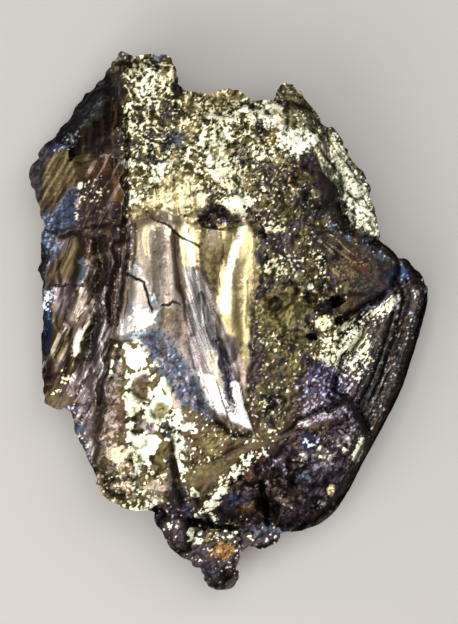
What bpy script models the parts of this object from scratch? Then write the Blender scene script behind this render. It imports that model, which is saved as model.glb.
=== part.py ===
"""A platy covellite specimen with a brassy crust, lying on the cleavage face of its back.

One closed solid, in metres, +Z up. +Y is the top of the specimen and +Z its display face.
Outlines and heights below are in millimetres, measured from the middle of the specimen's
own width and height, and from the face that it rests on.
"""

import math
import random

import bmesh
import bpy
from mathutils import Matrix, Vector

MM = 0.001

# Driving dimensions, in millimetres
HALF_WIDTH = 20.1
HALF_HEIGHT = 27.0
CLEAR_TOP = 30.0  # higher than any part of the specimen, where a block is still uncut
BACK_FACE = 0.0  # the basal cleavage face that it rests on
REAR_TOP = 4.1
MIDDLE_BASE, MIDDLE_TOP = 2.9, 7.3
LEDGE_RISE = 1.5  # height of one growth layer at the sides
LAYER_OVERLAP = 0.3  # how far a growth layer reaches into the one above

# The stack of growth layers that makes the right-hand plate
TERRACES = 6
TERRACE_RISE = 0.72  # each layer's step up
TERRACE_SHRINK = 0.04  # each layer's share smaller than the one below
TERRACE_CENTRE = (1.5, 1.0)
TERRACE_BASE = 3.4
TERRACE_RIM_TOP = 5.3

# Planes that cut the tops: (x, y, height there, rise per mm along X, rise per mm along Y)
TOOTH_TOPS = [(-8.0, 22.0, 12.6, 0.05, -0.2), (-8.0, 25.0, 11.2, 0.3, -1.1)]
CREST_TOPS = [
    (0.0, 14.0, 13.8, -0.02, -0.12),
    (7.0, 14.0, 12.8, -0.5, 0.05),
    (0.0, 21.5, 11.6, 0.0, -0.9),
    (-2.0, 9.4, 12.6, 0.04, 0.9),
]
PALE_TOPS = [(11.0, 15.0, 9.7, -0.28, -0.1)]
INNER_TOPS = [(2.0, 0.0, 13.1, -0.24, 0.08)]
BRIGHT_TOPS = [
    (-7.0, -9.0, 11.4, 0.08, 0.13),
    (-11.3, -16.3, 9.2, 0.7, 0.5),
    (-6.0, -18.0, 9.4, 0.0, 0.7),
]
DARK_TOPS = [(4.0, -12.0, 11.6, -0.18, 0.4), (4.0, -19.0, 8.6, 0.0, 1.3)]

# The chips of the crust: corners of one, its least and largest radius, how flat, how steep
CHIP_SEED = 11
CHIP_CORNERS = 9
SMALL_CHIP, LARGE_CHIP = 0.8, 1.75
FLATTEST_CHIP = 0.5
STEEPEST_CHIP = 0.7
CHIP_SINK = 0.25  # how far a chip's middle lies below the face it sits on

LUMP_ROUGHNESS = 0.14  # how far a corner of a lump lies in or out, as a share of its radius

SPECIMEN_NAME = "covellite_specimen"
WELD = 1e-6


def clear_scene():
    """Removes the startup objects."""
    for obj in list(bpy.data.objects):
        bpy.data.objects.remove(obj)


def new_collection(name):
    """A collection for the specimen, for the blocks it grew from, or for its hollows."""
    collection = bpy.data.collections.new(name)
    bpy.context.scene.collection.children.link(collection)
    return collection


def mesh_object(name, shape, collection):
    """Puts an edited shape in the scene as an object of that name."""
    bmesh.ops.recalc_face_normals(shape, faces=shape.faces[:])
    mesh = bpy.data.meshes.new(name)
    shape.to_mesh(mesh)
    shape.free()
    obj = bpy.data.objects.new(name, mesh)
    collection.objects.link(obj)
    return obj


def prism(name, outline, low, high):
    """A flat outline, drawn as a filled 2D curve and extruded between two heights."""
    curve = bpy.data.curves.new(name, "CURVE")
    curve.dimensions = "2D"
    curve.fill_mode = "BOTH"
    curve.extrude = (high - low) / 2 * MM
    spline = curve.splines.new("POLY")
    spline.points.add(len(outline) - 1)
    for point, (x, y) in zip(spline.points, outline):
        point.co = (x * MM, y * MM, 0, 1)
    spline.use_cyclic_u = True
    drawn = bpy.data.objects.new(name, curve)
    bpy.context.scene.collection.objects.link(drawn)
    graph = bpy.context.evaluated_depsgraph_get()
    mesh = bpy.data.meshes.new_from_object(drawn.evaluated_get(graph))
    bpy.data.objects.remove(drawn)
    shape = bmesh.new()
    shape.from_mesh(mesh)
    bmesh.ops.remove_doubles(shape, verts=shape.verts[:], dist=WELD)
    bmesh.ops.translate(shape, verts=shape.verts[:], vec=(0, 0, (high + low) / 2 * MM))
    return shape


def height_under(tops, x, y):
    """Height of a block's top at a place: that of the lowest of the planes that cut it."""
    return min(z0 + along_x * (x - x0) + along_y * (y - y0) for x0, y0, z0, along_x, along_y in tops)


def cut_above(shape, top):
    """Takes away what lies above a top plane and closes the cut with a flat face."""
    x0, y0, z0, along_x, along_y = top
    bmesh.ops.bisect_plane(
        shape,
        geom=shape.verts[:] + shape.edges[:] + shape.faces[:],
        plane_co=Vector((x0, y0, z0)) * MM,
        plane_no=Vector((-along_x, -along_y, 1.0)).normalized(),
        clear_outer=True,
    )
    bmesh.ops.holes_fill(shape, edges=shape.edges[:], sides=0)


def middle_of(outline):
    """The mean of an outline's corners."""
    return (
        sum(x for x, _ in outline) / len(outline),
        sum(y for _, y in outline) / len(outline),
    )


def scaled(outline, share, centre):
    """The outline made smaller about a centre, as one growth layer on the next."""
    cx, cy = centre
    return [(cx + (x - cx) * share, cy + (y - cy) * share) for x, y in outline]


def block(name, outline, base, tops, blocks, high=CLEAR_TOP):
    """A crystal block: an upright prism whose top is cut flat by one or more planes."""
    shape = prism(name, outline, base, high)
    for top in tops:
        cut_above(shape, top)
    return mesh_object(name, shape, blocks)


def ledged_block(name, outline, base, tops, shares, blocks):
    """A block in growth layers, each a share of the outline, so that its sides are ledged."""
    centre = middle_of(outline)
    for layer, share in enumerate(shares):
        low = base + LEDGE_RISE * layer
        last = layer == len(shares) - 1
        high = CLEAR_TOP if last else low + LEDGE_RISE + LAYER_OVERLAP
        block(f"{name}_{layer}", scaled(outline, share, centre), low, tops, blocks, high)


def fold(name, start, end, half_width, half_depth, collection):
    """A long smooth fold, or a furrow when it is cut away: a ball drawn out between two points."""
    first, last = Vector(start) * MM, Vector(end) * MM
    run = last - first
    turn = run.to_track_quat("X", "Z").to_matrix().to_4x4()
    size = Matrix.Diagonal((run.length / 2, half_width * MM, half_depth * MM, 1.0))
    place = Matrix.Translation((first + last) / 2) @ turn @ size
    shape = bmesh.new()
    bmesh.ops.create_uvsphere(shape, u_segments=12, v_segments=9, radius=1.0, matrix=place)
    return mesh_object(name, shape, collection)


def lump(name, centre, radii, turn_deg, collection):
    """A rugged, faceted lump of ore, or a pit when it is cut away."""
    size = Matrix.Diagonal((*[r * MM for r in radii], 1.0))
    turn = Matrix.Rotation(math.radians(turn_deg), 4, "Z")
    shape = bmesh.new()
    bmesh.ops.create_icosphere(shape, subdivisions=2, radius=1.0)
    rolls = random.Random(name)
    for corner in shape.verts:
        corner.co *= 1 + rolls.uniform(-LUMP_ROUGHNESS, LUMP_ROUGHNESS)
    bmesh.ops.transform(
        shape, matrix=Matrix.Translation(Vector(centre) * MM) @ turn @ size, verts=shape.verts[:]
    )
    return mesh_object(name, shape, collection)


def chip(name, centre, radius, rolls, collection):
    """A small flat-faced crystal: the hull of a few corners on a flattened ball, tilted."""
    flat = rolls.uniform(FLATTEST_CHIP, 1.0)
    turn = Matrix.Rotation(rolls.uniform(0, math.tau), 4, "Z")
    tilt = Matrix.Rotation(rolls.uniform(-STEEPEST_CHIP, STEEPEST_CHIP), 4, "X")
    size = Matrix.Diagonal((radius * MM, radius * rolls.uniform(0.6, 1.0) * MM, radius * flat * MM, 1.0))
    place = Matrix.Translation(Vector(centre) * MM) @ turn @ tilt @ size
    shape = bmesh.new()
    for _ in range(CHIP_CORNERS):
        corner = Vector((rolls.gauss(0, 1), rolls.gauss(0, 1), rolls.gauss(0, 1))).normalized()
        shape.verts.new(place @ corner)
    hull = bmesh.ops.convex_hull(shape, input=shape.verts[:])
    inside = [v for v in hull["geom_interior"] if isinstance(v, bmesh.types.BMVert)]
    bmesh.ops.delete(shape, geom=inside, context="VERTS")
    return mesh_object(name, shape, collection)


def back_plates(blocks):
    """The plates that the rest grows on. The rear one ends in the face it rests on."""
    rear = [
        (-16.3, 16.2), (-10.9, 21.0), (-4.9, 20.4), (6.1, 19.8), (12.3, 11.8), (16.3, 2.2),
        (10.1, -15.6), (3.3, -19.0), (-2.4, -20.8), (-7.9, -16.8), (-11.9, -14.6), (-16.7, -5.0),
    ]
    upper_step = [(-12.0, 22.6), (3.0, 20.9), (11.2, 15.2), (14.0, 7.4), (2.0, 3.0), (-14.8, 8.0)]
    lower_step = [
        (-15.6, -8.2), (-2.0, -4.0), (13.6, -9.8), (8.2, -18.6), (-1.0, -22.4), (-10.4, -16.6),
    ]
    left_step = [(-17.6, 15.0), (-9.0, 17.0), (-6.0, -2.0), (-16.0, -7.2), (-18.0, -2.0)]
    middle = [
        (-19.1, 13.8), (-16.5, 18.4), (-11.7, 23.4), (-5.7, 24.0), (-2.9, 22.0), (2.9, 20.9),
        (7.1, 21.0), (13.3, 12.8), (14.7, 8.4), (18.3, 5.2), (19.5, 2.2), (16.7, -7.2),
        (11.6, -16.8), (7.1, -20.2), (0.7, -23.4), (-2.4, -23.4), (-6.9, -19.2),
        (-12.6, -15.8), (-14.5, -11.0), (-17.9, -6.6), (-18.6, 7.2),
    ]
    block("rear_plate", rear, BACK_FACE, [], blocks, REAR_TOP)
    block("upper_step", upper_step, 1.3, [], blocks, 4.7)
    block("lower_step", lower_step, 1.9, [], blocks, 4.8)
    block("left_step", left_step, 1.0, [], blocks, 4.6)
    return block("middle_plate", middle, MIDDLE_BASE, [], blocks, MIDDLE_TOP)


def left_flank(blocks):
    """The steep dark face on the left, its striated plate, and the folds below them."""
    upper = [
        (-12.0, 24.8), (-13.6, 24.0), (-15.3, 22.3), (-16.9, 20.1), (-17.7, 18.3),
        (-18.5, 16.9), (-18.6, 8.7), (-10.5, 8.2), (-10.2, 23.2),
    ]
    striated = [
        (-19.9, 15.2), (-18.4, 17.2), (-17.5, 18.4), (-15.5, 17.3), (-15.2, 14.5),
        (-16.9, 11.7), (-17.9, 9.5), (-18.7, 8.8), (-19.0, 11.6), (-HALF_WIDTH, 14.2),
    ]
    lower = [
        (-18.5, 9.8), (-19.2, 5.6), (-18.8, 4.2), (-18.9, 1.2), (-18.9, -2.3), (-18.8, -5.6),
        (-18.2, -7.0), (-16.3, -7.6), (-15.3, -8.8), (-12.9, -8.0), (-10.6, -0.8), (-9.9, 10.4),
    ]
    nub = [(-18.4, -5.4), (-18.0, -8.1), (-16.9, -8.3), (-16.2, -7.7), (-15.2, -6.8), (-15.8, -4.8)]
    strip = [
        (-15.6, -7.9), (-12.6, -7.4), (-11.4, -17.0), (-13.2, -16.4), (-13.3, -15.1),
        (-14.4, -13.1), (-15.5, -10.8),
    ]
    rim_bevel = (-15.3, 20.9, 5.0, 1.24, -1.02)
    flank_face = (-10.2, 16.0, 12.9, 0.74, 0.02)
    ledged_block("upper_flank", upper, 3.2, [flank_face, rim_bevel], [1.0, 0.985, 1.0], blocks)
    block("striated_plate", striated, 2.7, [(-17.0, 14.5, 8.3, 0.45, 0.1)], blocks)
    ledged_block("lower_flank", lower, 3.05, [(-11.0, 0.0, 9.6, 0.55, 0.0)], [1.0, 0.97, 0.985], blocks)
    block("nub", nub, 4.0, [(-17.0, -6.8, 7.4, 0.2, 0.1)], blocks)
    ledged_block("lower_strip", strip, 3.7, [(-13.5, -12.0, 8.2, 0.5, 0.05)], [1.0, 0.95], blocks)
    fold("outer_fold", (-17.2, 10.6, 6.2), (-17.3, -7.4, 5.9), 0.9, 1.7, blocks)
    fold("ochre_fold", (-13.4, 11.4, 8.6), (-15.5, -8.4, 6.6), 1.3, 2.1, blocks)
    fold("flank_rib", (-11.2, 11.8, 9.8), (-13.1, -10.0, 8.0), 0.8, 2.4, blocks)


def upper_crust(blocks):
    """The crusted mass at the top: the tooth, the wide crest, the peak and the pale sheet."""
    tooth = [
        (-11.8, 25.6), (-11.5, 26.5), (-10.6, HALF_HEIGHT), (-9.8, 26.5), (-9.2, 26.3),
        (-8.1, 26.5), (-7.0, 26.6), (-6.1, 26.4), (-5.4, 25.8), (-5.0, 24.8), (-5.1, 22.3),
        (-4.7, 17.7), (-10.1, 17.7), (-10.3, 23.0), (-11.1, 24.9),
    ]
    crest = [
        (-10.2, 22.6), (-5.3, 22.5), (-3.6, 22.7), (-2.2, 22.9), (-0.2, 23.1), (1.0, 22.9),
        (1.9, 22.1), (2.6, 21.7), (3.6, 22.2), (7.1, 21.0), (9.3, 17.2), (11.5, 11.0),
        (10.3, 6.4), (3.3, 8.2), (-2.4, 8.8), (-7.9, 10.4), (-10.3, 8.6),
    ]
    peak = [
        (4.1, 21.8), (4.6, 22.7), (5.0, 23.5), (6.1, 23.8), (6.9, 23.3), (7.4, 22.1),
        (8.7, 20.4), (9.7, 18.3), (7.6, 18.0), (5.4, 20.2),
    ]
    pale_sheet = [
        (6.3, 20.3), (8.4, 20.3), (10.3, 19.4), (11.7, 17.4), (13.1, 15.4), (14.1, 13.4),
        (14.4, 11.8), (14.7, 10.0), (15.1, 8.3), (12.3, 7.6), (10.4, 12.3), (8.4, 15.8),
    ]
    ledged_block("tooth", tooth, 3.9, TOOTH_TOPS, [0.97, 1.0, 0.96, 0.92], blocks)
    ledged_block("crest", crest, 4.8, CREST_TOPS, [1.0, 0.99, 0.975, 0.98], blocks)
    ledged_block("peak", peak, 4.3, [(6.5, 21.5, 11.2, -0.3, -0.3)], [0.96, 1.0, 0.9], blocks)
    ledged_block("pale_sheet", pale_sheet, 3.7, PALE_TOPS, [1.0, 0.97, 0.985], blocks)
    lump("crest_knob", (-0.4, 15.2, 12.6), (2.6, 2.0, 2.2), 20, blocks)
    lump("dark_knob", (8.2, 13.2, 11.2), (2.4, 1.9, 1.9), -35, blocks)
    lump("corner_knob", (1.4, 11.4, 12.2), (2.5, 1.4, 2.0), 5, blocks)
    lump("stripe_knob", (-7.6, 14.0, 12.4), (1.5, 3.4, 1.7), 8, blocks)


def bronze_sheet(blocks):
    """The smooth folded sheet in the middle and the striated wedge that crosses it."""
    sheet = [
        (-10.2, 9.8), (-7.9, 13.4), (-2.4, 12.0), (3.4, 10.9), (2.9, -0.8), (1.3, -7.8),
        (-2.9, -7.4), (-6.4, -6.0), (-7.9, -3.3), (-11.5, -3.6), (-11.1, 0.2),
    ]
    wedge = [
        (-3.9, 6.6), (-2.9, 5.2), (-1.6, 1.2), (0.3, -2.3), (1.4, -7.3), (2.4, -11.6),
        (-0.1, -10.8), (-2.4, -8.2), (-3.9, -3.0), (-4.3, 2.2),
    ]
    block("sheet", sheet, 6.0, [(-4.0, 2.0, 11.5, 0.08, 0.04)], blocks)
    wedge_tops = [(-1.2, -3.0, 13.0, 0.42, -0.08), (-1.2, -3.0, 13.0, -0.5, -0.06)]
    block("wedge", wedge, 6.4, wedge_tops, blocks)
    fold("bright_fold", (1.9, 11.4, 12.1), (0.9, -5.4, 11.6), 1.05, 1.8, blocks)
    fold("wide_fold", (-6.0, 12.8, 10.7), (-5.6, -4.6, 10.1), 2.0, 2.0, blocks)
    fold("narrow_fold", (-3.4, 11.4, 11.3), (-2.3, -4.0, 10.9), 0.55, 1.5, blocks)
    fold("left_fold", (-9.2, 11.6, 10.6), (-11.1, -4.4, 9.9), 0.75, 1.9, blocks)


def plate_stack(blocks):
    """The large hexagonal plate on the right, as growth layers that step in from its rim."""
    rim = [
        (7.1, 13.3), (11.6, 9.5), (15.2, 8.1), (16.5, 7.1), (18.5, 6.1), (19.5, 4.9),
        (19.7, 3.9), (HALF_WIDTH, 3.6), (20.05, 2.1), (19.5, -0.4), (18.5, -3.6),
        (17.3, -7.0), (15.3, -10.8), (13.3, -14.4), (11.7, -17.7), (10.5, -19.3),
        (8.9, -20.5), (7.3, -21.0), (5.7, -20.9), (3.3, -19.8), (1.1, -11.8), (1.1, 2.3),
    ]
    for layer in range(TERRACES):
        outline = scaled(rim, 1 - TERRACE_SHRINK * layer, TERRACE_CENTRE)
        top = (18.0, 0.0, TERRACE_RIM_TOP + TERRACE_RISE * layer, -0.04, 0.01)
        block(f"terrace_{layer}", outline, TERRACE_BASE + 0.07 * layer, [top], blocks)
    upper_facet = [
        (3.3, 9.5), (10.1, 9.4), (12.1, 9.0), (14.9, 7.6), (16.4, 5.9), (16.9, 4.6),
        (15.5, 3.1), (11.6, 0.7), (7.9, -0.9), (3.3, -1.0),
    ]
    inner_facet = [
        (2.0, 9.4), (8.6, 4.0), (10.6, -0.5), (10.7, -4.7), (8.6, -9.6), (3.6, -12.6),
        (2.0, -11.0), (0.8, -7.8), (1.5, -0.8),
    ]
    block("upper_facet", upper_facet, 5.1, [(4.0, 4.0, 12.9, -0.31, 0.06)], blocks)
    block("inner_facet", inner_facet, 5.6, INNER_TOPS, blocks)
    lump("chain_knob", (11.2, -1.6, 9.4), (2.3, 1.3, 1.5), 38, blocks)
    lump("violet_knob", (9.2, -8.6, 9.2), (2.6, 2.2, 1.7), 20, blocks)


def lower_facets(blocks):
    """The bright facet at the lower left, the dark one at the lower right, and the tip."""
    bright = [
        (-11.6, -1.4), (-7.9, -0.9), (-3.3, -6.4), (0.4, -9.8), (3.6, -11.6), (0.3, -14.0),
        (-2.8, -15.4), (-2.4, -19.6), (-4.9, -19.8), (-7.2, -18.6), (-8.8, -18.8),
        (-11.0, -18.3), (-12.4, -17.5), (-13.2, -15.8), (-13.2, -12.0), (-12.9, -7.8),
    ]
    dark = [
        (-3.2, -15.0), (3.3, -11.3), (7.1, -9.4), (11.9, -7.2), (13.9, -11.2), (11.0, -16.8),
        (8.6, -19.5), (5.4, -20.0), (2.0, -20.8), (-1.6, -21.3), (-3.4, -20.3),
    ]
    lip = [
        (-3.6, -19.5), (5.6, -19.0), (5.2, -21.9), (3.1, -22.9), (1.6, -22.4), (0.9, -23.2),
        (-2.0, -23.4), (-5.2, -22.4),
    ]
    tip = [
        (-7.6, -19.4), (-7.2, -18.4), (-2.6, -18.2), (1.4, -21.4), (1.2, -24.0), (0.6, -25.6),
        (-0.6, -26.8), (-1.6, -HALF_HEIGHT), (-2.4, -26.4), (-2.8, -25.0), (-4.6, -23.8),
        (-6.6, -22.0),
    ]
    tip_tops = [(-3.0, -22.0, 7.4, 0.05, 0.15), (-1.2, -25.4, 6.2, 0.1, 0.9)]
    ledged_block("bright_facet", bright, 4.6, BRIGHT_TOPS, [1.0, 0.98, 0.99], blocks)
    ledged_block("dark_facet", dark, 4.4, DARK_TOPS, [1.0, 0.99, 0.98], blocks)
    block("lip", lip, 3.1, [(0.0, -21.5, 6.6, 0.02, 0.25)], blocks)
    ledged_block("tip", tip, 2.2, tip_tops, [0.95, 1.0, 0.97], blocks)
    lump("tip_lobe", (-1.1, -24.6, 5.2), (1.9, 2.0, 2.1), 0, blocks)
    lump("brown_lobe", (-4.9, -20.6, 7.2), (1.7, 2.2, 1.9), 15, blocks)
    lump("shadow_knob", (5.6, -18.2, 8.3), (2.0, 1.5, 1.5), -20, blocks)


def crust_chips(blocks):
    """Small crystals, half sunk in each crusted face at places chosen at random.

    Each field is (left, right, low, high), how many chips, and the tops they sit on.
    """
    fields = {
        "crest_chip": ((-9.4, 8.0, 10.6, 21.4), 54, CREST_TOPS),
        "tooth_chip": ((-10.4, -5.4, 18.6, 24.6), 10, TOOTH_TOPS),
        "ledge_chip": ((10.2, 13.0, 10.4, 16.0), 6, PALE_TOPS),
        "facet_chip": ((3.0, 9.2, -8.0, 7.8), 24, INNER_TOPS),
        "bright_chip": ((-11.8, -3.4, -16.6, -6.0), 16, BRIGHT_TOPS),
        "dark_chip": ((0.6, 10.0, -18.4, -12.4), 16, DARK_TOPS),
    }
    rolls = random.Random(CHIP_SEED)
    for name, ((left, right, low, high), count, tops) in fields.items():
        for index in range(count):
            x, y = rolls.uniform(left, right), rolls.uniform(low, high)
            radius = rolls.uniform(SMALL_CHIP, LARGE_CHIP)
            centre = (x, y, height_under(tops, x, y) - CHIP_SINK)
            chip(f"{name}_{index}", centre, radius, rolls, blocks)


def hollows(pits):
    """The pits and crevices, which are cut away."""
    lump("dark_pit", (-1.0, 9.9, 12.9), (2.1, 1.1, 2.6), -12, pits)
    lump("corner_pit", (10.9, 6.8, 12.2), (1.2, 0.8, 1.8), 30, pits)
    lump("side_pit", (8.2, 2.4, 12.3), (0.9, 0.8, 1.8), 0, pits)
    lump("left_undercut", (-2.6, -20.1, 8.4), (1.3, 0.9, 2.2), 25, pits)
    lump("right_undercut", (3.8, -18.6, 9.8), (1.1, 1.8, 2.4), 20, pits)
    fold("olive_hollow", (-1.0, 8.8, 13.1), (0.3, -4.6, 13.0), 1.25, 2.3, pits)
    fold("upper_crevice", (-10.1, 10.0, 11.4), (-11.9, -3.2, 10.2), 0.55, 2.2, pits)
    fold("lower_crevice", (-11.8, -1.6, 10.2), (-13.1, -12.0, 9.4), 0.5, 1.9, pits)
    fold("cliff_crevice", (9.6, 16.6, 11.2), (12.2, 8.2, 10.2), 0.7, 1.9, pits)
    fold("v_crevice", (-3.3, -15.2, 11.3), (3.4, -11.4, 12.6), 0.5, 1.5, pits)


def covellite_material():
    """Tarnished indigo covellite with a bronze sheen."""
    material = bpy.data.materials.new("covellite")
    material.use_nodes = True
    shader = material.node_tree.nodes["Principled BSDF"]
    shader.inputs["Base Color"].default_value = (0.16, 0.13, 0.10, 1.0)
    shader.inputs["Metallic"].default_value = 0.8
    shader.inputs["Roughness"].default_value = 0.35
    return material


def combine(body, operation, collection):
    """Adds every object of a collection to the body, or cuts them all from it."""
    for obj in collection.objects:
        obj.hide_render = True
        obj.display_type = "WIRE"
    collection.hide_render = True
    step = body.modifiers.new(collection.name, "BOOLEAN")
    step.operation = operation
    step.solver = "EXACT"
    step.operand_type = "COLLECTION"
    step.collection = collection


def main():
    clear_scene()
    specimen = new_collection("covellite specimen")
    blocks = new_collection("blocks")
    pits = new_collection("pits")
    body = back_plates(blocks)
    left_flank(blocks)
    upper_crust(blocks)
    bronze_sheet(blocks)
    plate_stack(blocks)
    lower_facets(blocks)
    crust_chips(blocks)
    hollows(pits)
    blocks.objects.unlink(body)
    specimen.objects.link(body)
    body.name = SPECIMEN_NAME
    body.data.name = SPECIMEN_NAME
    body.data.materials.append(covellite_material())
    combine(body, "UNION", blocks)
    combine(body, "DIFFERENCE", pits)


main()
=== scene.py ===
# %% [markdown]
# # A covellite specimen with a brassy crust
#
# Covellite is a copper sulfide that grows as thin plates. Here many plates grew together, and a
# crust of brassy grains covers the top of them. This lesson builds the specimen's looks round a
# plain solid of it, which gives the size and the main forms. All lengths below are millimetres
# until a mesh is made, because a hand specimen is easier to think of that way.

import math

import bpy
import numpy as np
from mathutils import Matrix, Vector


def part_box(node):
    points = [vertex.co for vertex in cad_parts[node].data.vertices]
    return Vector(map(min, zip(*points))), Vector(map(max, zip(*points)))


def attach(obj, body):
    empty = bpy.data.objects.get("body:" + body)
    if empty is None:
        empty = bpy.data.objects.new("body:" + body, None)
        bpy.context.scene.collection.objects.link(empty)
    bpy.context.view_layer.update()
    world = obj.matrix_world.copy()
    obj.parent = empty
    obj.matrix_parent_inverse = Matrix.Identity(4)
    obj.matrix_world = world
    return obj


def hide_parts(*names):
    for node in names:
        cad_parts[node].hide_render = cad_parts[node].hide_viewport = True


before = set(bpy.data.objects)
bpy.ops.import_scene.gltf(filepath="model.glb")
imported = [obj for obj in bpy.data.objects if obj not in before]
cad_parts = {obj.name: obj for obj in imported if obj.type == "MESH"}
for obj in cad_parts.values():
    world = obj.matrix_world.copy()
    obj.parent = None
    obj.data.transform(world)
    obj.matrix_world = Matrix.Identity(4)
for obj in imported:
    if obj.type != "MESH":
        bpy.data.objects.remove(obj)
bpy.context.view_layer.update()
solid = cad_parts["covellite_specimen"]
MM = 0.001

# %% [markdown]
# ## One fine grid over the whole specimen
#
# A broken mineral surface has thousands of tiny faces, far too many to place by hand. Seen from
# its display face this one never folds under itself, so each point of a flat grid needs only a
# height. That makes the surface a function of two numbers, x and y, and every later step is sums
# on whole arrays. The grid's lines are 0.09 mm apart, a little finer than the grains.

# %% The grid
SPACING = 0.09
MARGIN = 0.4
low_corner, high_corner = np.array([list(corner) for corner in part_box("covellite_specimen")]) / MM
columns = np.arange(low_corner[0] - MARGIN, high_corner[0] + MARGIN, SPACING)
rows = np.arange(low_corner[1] - MARGIN, high_corner[1] + MARGIN, SPACING)
X, Y = np.meshgrid(columns, rows)
print("grid:", X.shape, "points:", X.size)

# %% [markdown]
# ## Reading the solid's heights
#
# A loose cloud of points hangs above the solid, and a Shrinkwrap modifier drops each straight
# down onto it. The same from below gives the underside. Points that meet nothing keep their
# height, which tells where the specimen's outline is.


# %% Heights from above and from below
def dropped(start, downward):
    """Heights in mm where upright lines through the grid first meet the solid.

    Each point moves along Z only: height(x, y) = first crossing from the start height.
    """
    points = np.stack([X.ravel(), Y.ravel(), np.full(X.size, start)], 1) * MM
    mesh = bpy.data.meshes.new("probe")
    mesh.vertices.add(X.size)
    mesh.vertices.foreach_set("co", points.ravel())
    probe = bpy.data.objects.new("probe", mesh)
    bpy.context.scene.collection.objects.link(probe)
    drop = probe.modifiers.new("drop", "SHRINKWRAP")
    drop.target = solid
    drop.wrap_method = "PROJECT"
    drop.use_project_z = True
    drop.use_negative_direction = downward
    drop.use_positive_direction = not downward
    landed = probe.evaluated_get(bpy.context.evaluated_depsgraph_get()).data
    found = np.empty(X.size * 3, np.float32)
    landed.vertices.foreach_get("co", found)
    bpy.data.objects.remove(probe)
    bpy.data.meshes.remove(mesh)
    heights = found.reshape(-1, 3)[:, 2].reshape(X.shape) / MM
    return heights, np.abs(heights - start) > 1e-3


ABOVE, BELOW = 40.0, -20.0
solid_top, hit_top = dropped(ABOVE, True)
solid_bottom, hit_bottom = dropped(BELOW, False)
inside = hit_top & hit_bottom & (solid_top > solid_bottom)
print("inside:", int(inside.sum()), "highest:", round(float(solid_top[inside].max()), 2))

# %% [markdown]
# ## Chance, smoothness and blur
#
# Natural surfaces need randomness that is smooth at one scale and rough at another. Value noise
# gives a random number to each knot of a coarse net and blends between them. Adding finer and
# finer copies makes a fractal. A blur is done on the grid's frequencies, because one multiplication
# there is a whole convolution.


# %% Noise and blur
def smooth(value, low=0.0, high=1.0):
    """0 below low, 1 above high, and 3t^2 - 2t^3 between them."""
    t = np.clip((value - low) / (high - low), 0, 1)
    return t * t * (3 - 2 * t)


def blend(a, b, share):
    """a + (b - a) * share."""
    return a + (b - a) * share


NET_ROWS, NET_COLUMNS = 127, 131


def noise(x, y, size, seed):
    """Random numbers 0 to 1 at the knots of a net this size, blended smoothly between them."""
    table = np.random.default_rng(seed).random((NET_ROWS, NET_COLUMNS))
    u, v = x / size, y / size
    i, j = np.floor(u).astype(int), np.floor(v).astype(int)
    fu, fv = smooth(u - i), smooth(v - j)
    knot = lambda a, b: table[(j + b) % NET_ROWS, (i + a) % NET_COLUMNS]
    return blend(blend(knot(0, 0), knot(1, 0), fu), blend(knot(0, 1), knot(1, 1), fu), fv)


def fractal(x, y, size, seed, octaves=4, loss=0.55):
    """Noise plus finer noise at half the size each time, each weaker, turned so no net shows."""
    total, weight, strength = 0.0, 0.0, 1.0
    for octave in range(octaves):
        turn = 0.6 + 1.1 * octave
        across = x * math.cos(turn) + y * math.sin(turn)
        along = y * math.cos(turn) - x * math.sin(turn)
        total = total + strength * noise(across, along, size / 2**octave, seed + octave)
        weight += strength
        strength *= loss
    return total / weight


FREQUENCY = np.hypot(
    np.fft.fftfreq(X.shape[0], SPACING)[:, None], np.fft.rfftfreq(X.shape[1], SPACING)[None]
)


def blurred(values, radius):
    """Gaussian blur of that radius in mm: each frequency f times exp(-2 (pi radius f)^2)."""
    kept = np.exp(-2 * (math.pi * radius * FREQUENCY) ** 2)
    return np.fft.irfft2(np.fft.rfft2(values) * kept, values.shape)


sample = fractal(X, Y, 2, 1)
print("noise range:", np.round([sample.min(), sample.max()], 2))

# %% [markdown]
# ## A ragged outline
#
# The solid's outline is straight between its corners. Real plate edges are chipped, so a little
# is bitten off it at random. Then only the part that hangs together is kept, because a crumb
# that touches nothing would float.


# %% The outline
def grown(mask):
    """The mask and the points beside it."""
    wide = mask.copy()
    wide[1:] |= mask[:-1]
    wide[:-1] |= mask[1:]
    wide[:, 1:] |= mask[:, :-1]
    wide[:, :-1] |= mask[:, 1:]
    return wide


def connected(mask, start):
    """The part of a mask that hangs together with a start."""
    while True:
        wider = grown(start) & mask
        if (wider == start).all():
            return start
        start = wider


def within(corners, x=X, y=Y):
    """True inside a polygon, where a ray to the right crosses its sides an odd number of times."""
    odd = np.zeros(X.shape, bool)
    for (ax, ay), (bx, by) in zip(corners, corners[1:] + corners[:1]):
        if ay != by:
            odd ^= ((ay > y) != (by > y)) & (x < ax + (y - ay) * (bx - ax) / (by - ay))
    return odd


OUTGROWTHS = {
    "notch": [(-12.2, 21.5), (-9.4, 21.5), (-9.4, 25.5), (-11.6, 25.5), (-12.2, 24.3)],
    "upper rim": [(-11.6, 25.5), (-13.4, 24.6), (-14.9, 22.8), (-16.4, 20.6), (-17.7, 18.6)]
    + [(-19.0, 17.1), (-20.05, 15.2), (-19.4, 13.4), (-15.0, 19.0), (-11.0, 23.6)],
    "spike": [(-19.7, 5.6), (-18.5, 7.2), (-18.0, 5.6), (-18.4, 4.0)],
    "nub": [(-18.8, -5.4), (-18.7, -7.8), (-18.0, -8.7), (-16.6, -8.7)]
    + [(-15.9, -7.7), (-16.0, -5.6)],
    "tip": [(-2.8, -25.0), (-2.1, -26.7), (-1.1, -27.0), (0.5, -26.8), (1.3, -25.2)],
}
solid_hit = inside.copy()
for corners in OUTGROWTHS.values():
    inside |= within(corners)
NIBBLE, MIDDLE = 0.26, 3.0
depth_in = blurred(inside.astype(float), NIBBLE)
bite = fractal(X, Y, 1.1, 40, octaves=3)
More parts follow.
